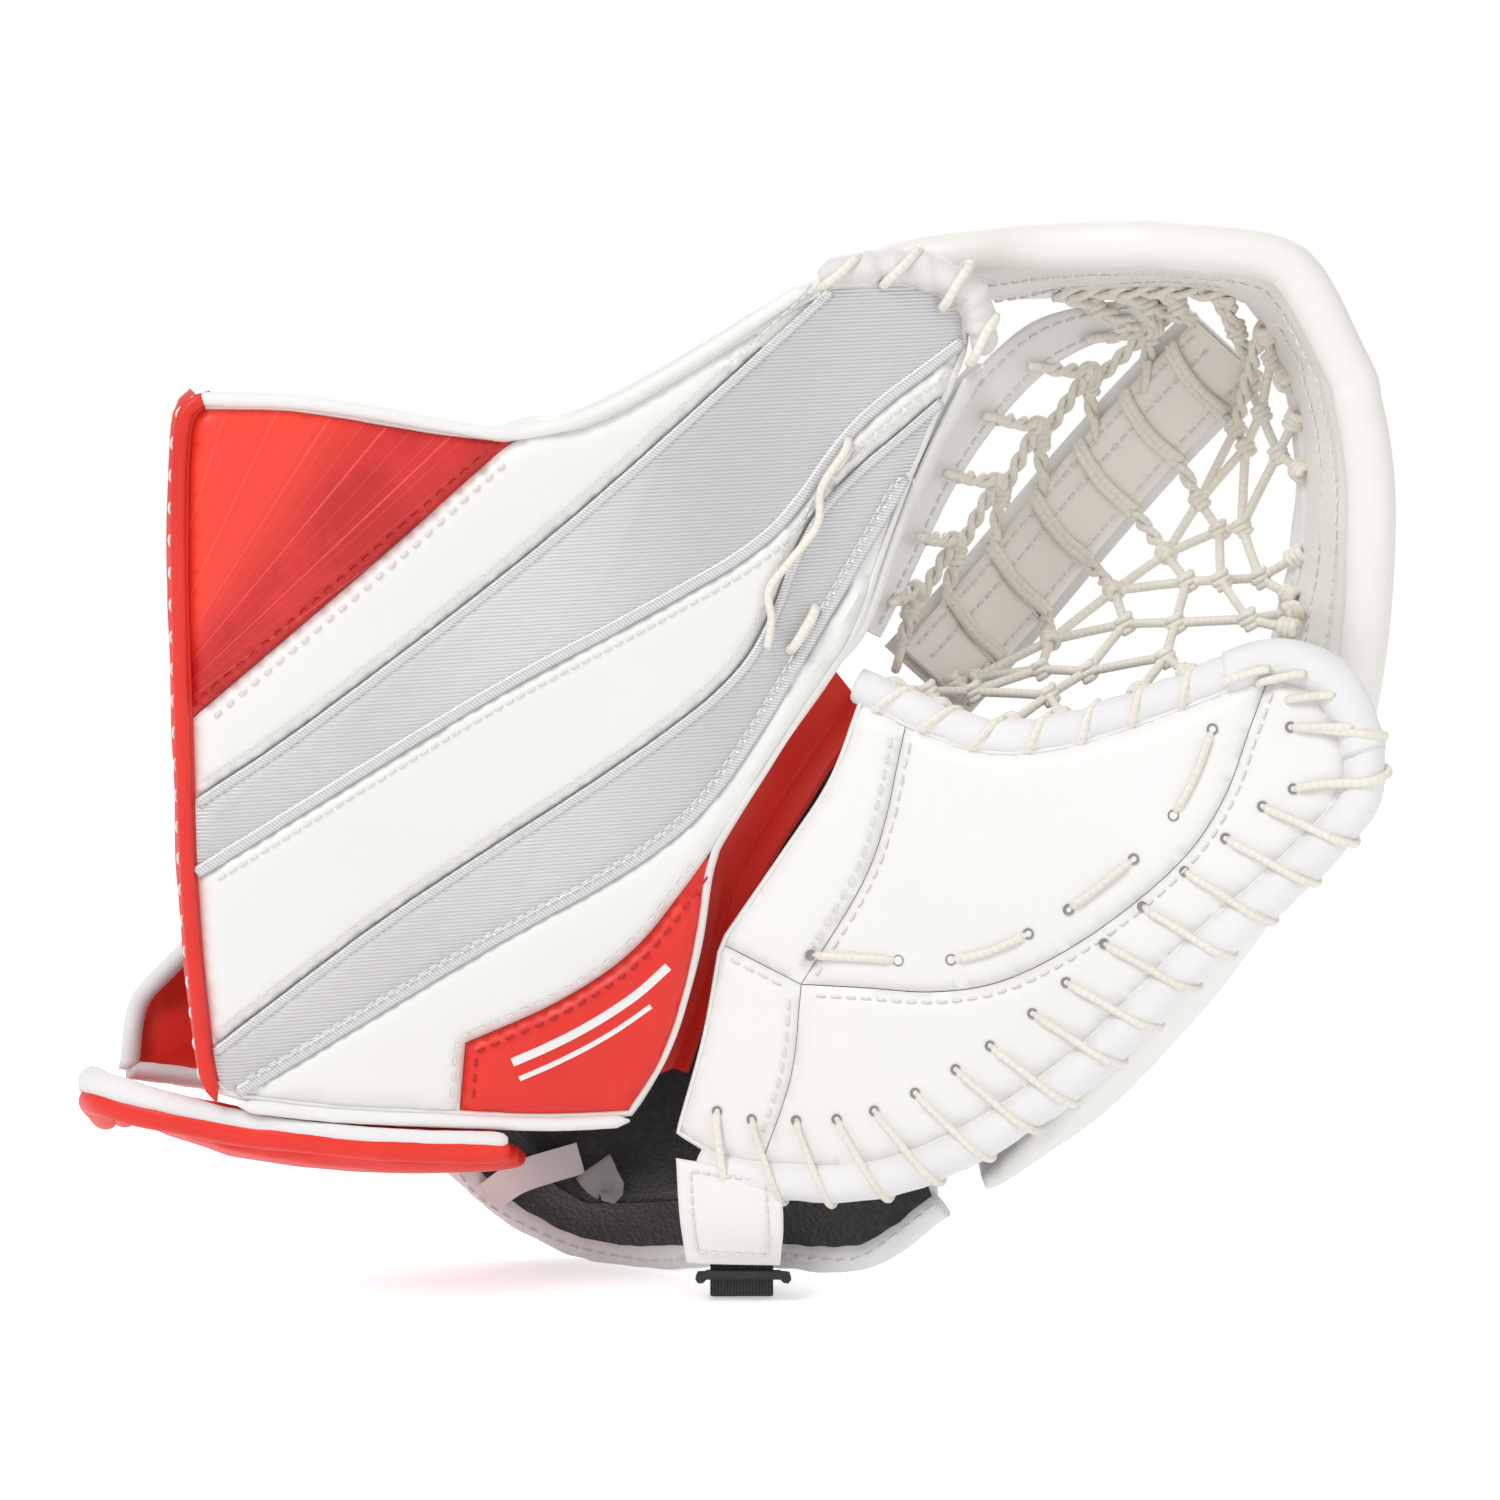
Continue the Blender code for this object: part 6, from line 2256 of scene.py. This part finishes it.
def build_wrist_tab():
    """Leather tab with a stitched rectangle, and the elastic behind it."""
    face = Patch("wrist_tab", (0, -1, 0), (-1, 0, 1), (1, 0, 0))
    tab = soft_patch("wrist_tab_cover", face, 26, 30, 0.7 * MM, 3.0 * MM, white_soft, 0.14,
                     0.4 * MM)
    place(tab, "wrist_tab", "white_leather", "wrist_tab")
    box_row = [(0.14, 0.10), (0.86, 0.10), (0.86, 0.86), (0.14, 0.86), (0.14, 0.10)]
    parts = []
    for a, b in zip(box_row, box_row[1:]):
        path = face.line([a, b], 0.9 * MM)
        normal = face.normal((a[0] + b[0]) / 2, (a[1] + b[1]) / 2)
        parts += stitch_parts(path, lambda spot: normal, 2.2 * MM, 1.0 * MM)
    put("wrist_tab_stitches", parts, white_thread, "wrist_tab", "white_leather")
    web = Patch("wrist_elastic", (0, -1, 0.3), (-1, 0, 1), (1, 0, 0), 60)
    band = soft_patch("wrist_elastic_web", web, 16, 60, 0.3 * MM, 1.5 * MM, elastic_web, 0.1,
                      0.2 * MM)
    place(band, "elastic", "black_lining", "wrist_elastic")


def build_cuff_wrap():
    """Padded flap under the cuff, bound in white, with its loop tape."""
    flap = inflated("cuff_wrap_padding", "cuff_wrap", red, 3.2, 3.0, 0.6)
    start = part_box("cuff_wrap")[0].x
    for vert in flap.data.vertices:
        vert.co.z += 5 * MM * max(0.0, 1 - (vert.co.x - start) / (34 * MM))
    place(flap, "cuff_wrap", "red_leather", "cuff_wrap")
    line = [p + Vector((0, 0, 2.8)) * MM for p in centre_line("cuff_wrap_binding", 1.4 * MM)]
    line = rightwards(line)
    build_wrap_lip(line)
    crease = wrinkled(0.08, 110, 5.0)
    span = length_of(line)

    def thinning(run, angle):
        """Creased, thin at both ends and slimmer over its right part."""
        slim = 1 - 0.38 * min(1, max(0, run / span - 0.25) * 3)
        return crease(run, angle) * tapered(run, span, 5 * MM, 0.4) * slim

    part = cord_part(line, 4.1 * MM, 18, shape=thinning)
    put("cuff_wrap_binding_cloth", [part], nylon, "cuff_wrap", "white_nylon",
        "cuff_wrap_binding")
    tape = Patch("wrap_fastener", (0, 0, 1), (-1, -1, 0), (1, 0, 0))
    pile = soft_patch("wrap_loop_tape", tape, 40, 30, 0.5 * MM, 1.6 * MM, velcro, 0.05, 0.6 * MM,
                      300)
    place(pile, "cuff_wrap", "black_lining", "wrap_fastener")


def build_wrap_lip(line):
    """Red padding that swells below the wrap's binding, and a second roll behind it."""
    left, right = line[0].x, max(p.x for p in line)
    shares = [(p.x - left) / (right - left) for p in line]
    below = [p + Vector((0.6, 1.6, -6.4 + 3.2 * min(1, share * 2))) * MM
             for p, share in zip(line, shares)]
    reach = length_of(below)
    puff = wrinkled(0.10, 70, 6.0)
    lip = cord_part(below, 4.4 * MM, 18,
                    shape=lambda run, angle: puff(run, angle) * tapered(run, reach, 9 * MM, 0.3))
    inner = [spot + Vector((0, 0, 1)).cross(ahead) * 6.5 * MM + Vector((0, 0, 1.5)) * MM
             for spot, ahead in zip(below, tangents(below))]
    hem = cord_part(inner[3:-3], 4.6 * MM, 18, shape=puff)
    put("cuff_wrap_lip", [lip, hem], red, "cuff_wrap", "red_leather")


def build_heel_stripes():
    """Two plain inlaid pinstripes on the red heel panel."""
    low = rightwards(shared_edge("heel_red_panel", "lower_white_panel"))
    overall = (low[-1] - low[0]).normalized()
    low = [p for p, after in zip(low, low[1:]) if (after - p).normalized().dot(overall) > 0.86]
    side = towards(low, middle_of("heel_red_panel"))
    for number, (inset, width) in enumerate(((10.0, 2.6), (15.5, 1.5)), 1):
        centre = offset_flat(low, side * inset * MM)
        centre = [p for p in centre if within(p, outlines["heel_red_panel"], 4.5 * MM)]
        centre = smooth_curve(centre[4::4], 2 * MM)
        points, normals = [], []
        for spot, ahead in zip(centre, tangents(centre)):
            across = Vector((-ahead.y, ahead.x))
            row = [spot + across * width * MM * (k / 4 - 0.5) for k in range(5)]
            points.append([board.point(p.x, p.y, 1.55 * MM) for p in row])
            normals.append([board.normal(spot.x, spot.y)] * 5)
        stripe = sheet_between(f"heel_pinstripe_{number}", points, normals, -0.6 * MM, 0.35 * MM,
                               white)
        place(stripe, "thumb", "white_leather")


def within(spot, outline, margin):
    """Whether a spot lies inside an outline, farther from it than the margin."""
    return inside_mask([spot], outline)[0] and edge_distances([spot], outline)[0] > margin


def finish_hidden_parts():
    """Materials of the CAD pieces that stay: foams, stiffeners and the moulded loop."""
    for node, material in (("board_outer_foam", grey_foam), ("board_inner_foam", grey_foam),
                           ("palm_foam", grey_foam), ("board_stiffener", stiff_sheet),
                           ("strap_loop", black_moulding)):
        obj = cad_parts[node]
        obj.data.materials.clear()
        obj.data.materials.append(material)


# ---------------------------------------------------------------- stage

def make_floor():
    """Pale paper floor, which shines a little towards the camera so it ends in pure white."""
    m = Nodes("floor_paper", (0.95, 0.95, 0.95), 0.9)
    grain = m.noise(m.coords(), 3.0)
    m.colour(m.mix(grain, (0.945, 0.945, 0.945), (0.96, 0.96, 0.96)))
    m.shader.inputs["Emission Color"].default_value = (1, 1, 1, 1)
    path = m.add("LightPath")
    m.link(m.spread(path.outputs["Is Camera Ray"], 0.12, 0.46),
           m.shader.inputs["Emission Strength"])
    verts = [(-6.0, -4.0, 0.0), (6.0, -4.0, 0.0), (6.0, 8.0, 0.0), (-6.0, 8.0, 0.0)]
    new_object("floor", verts, [[0, 1, 2, 3]], m.material)


def area_light(name, spot, aim, size, power):
    """A round soft light that looks at a point."""
    light = bpy.data.lights.new(name, "AREA")
    light.shape = "DISK"
    light.size = size
    light.energy = power
    obj = linked(name, light)
    obj.location = spot
    obj.rotation_euler = (Vector(aim) - Vector(spot)).to_track_quat("-Z", "Y").to_euler()


def make_world(lit, seen):
    """Even white surroundings: one strength for the light they give, one as a backdrop."""
    world = bpy.data.worlds.new("studio")
    world.use_nodes = True
    tree = world.node_tree
    back = tree.nodes["Background"]
    back.inputs["Color"].default_value = (1.0, 1.0, 1.0, 1)
    path = tree.nodes.new("ShaderNodeLightPath")
    blend = tree.nodes.new("ShaderNodeMix")
    blend.inputs["A"].default_value = lit
    blend.inputs["B"].default_value = seen
    tree.links.new(path.outputs["Is Camera Ray"], blend.inputs["Factor"])
    tree.links.new(blend.outputs["Result"], back.inputs["Strength"])
    bpy.context.scene.world = world


def make_light():
    """A broad soft key from above the camera, a weaker fill and a light from behind."""
    make_world(0.58, 1.0)
    middle = (0, 0, 0.16)
    area_light("key", (-0.75, -1.0, 1.35), middle, 0.8, 12.0)
    area_light("fill", (1.2, -1.1, 0.7), middle, 1.3, 3.4)
    area_light("rim", (0.3, 1.2, 1.1), middle, 1.0, 6.5)
    bpy.context.scene.view_settings.view_transform = "Standard"


VIEW_AIM = Vector((0.00773, -0.0225, 0.168))
VIEW_DISTANCE = 1.106
VIEW_RISE = math.radians(6.0)


def make_camera():
    """The main view: in front of the palm side and a little above its middle."""
    camera = bpy.data.cameras.new("view")
    camera.lens = 90
    camera.sensor_width = 36
    obj = linked("view", camera)
    away = Vector((0, -math.cos(VIEW_RISE), math.sin(VIEW_RISE)))
    obj.location = VIEW_AIM + away * VIEW_DISTANCE
    obj.rotation_euler = (VIEW_AIM - obj.location).to_track_quat("-Z", "Y").to_euler()
    bpy.context.scene.camera = obj


def main():
    build_board()
    build_thumb()
    build_band()
    build_net()
    build_palm()
    build_backhand()
    build_wrist_pad()
    build_wrist_tab()
    build_cuff_wrap()
    build_heel_stripes()
    finish_hidden_parts()
    make_floor()
    make_light()
    make_camera()


main()
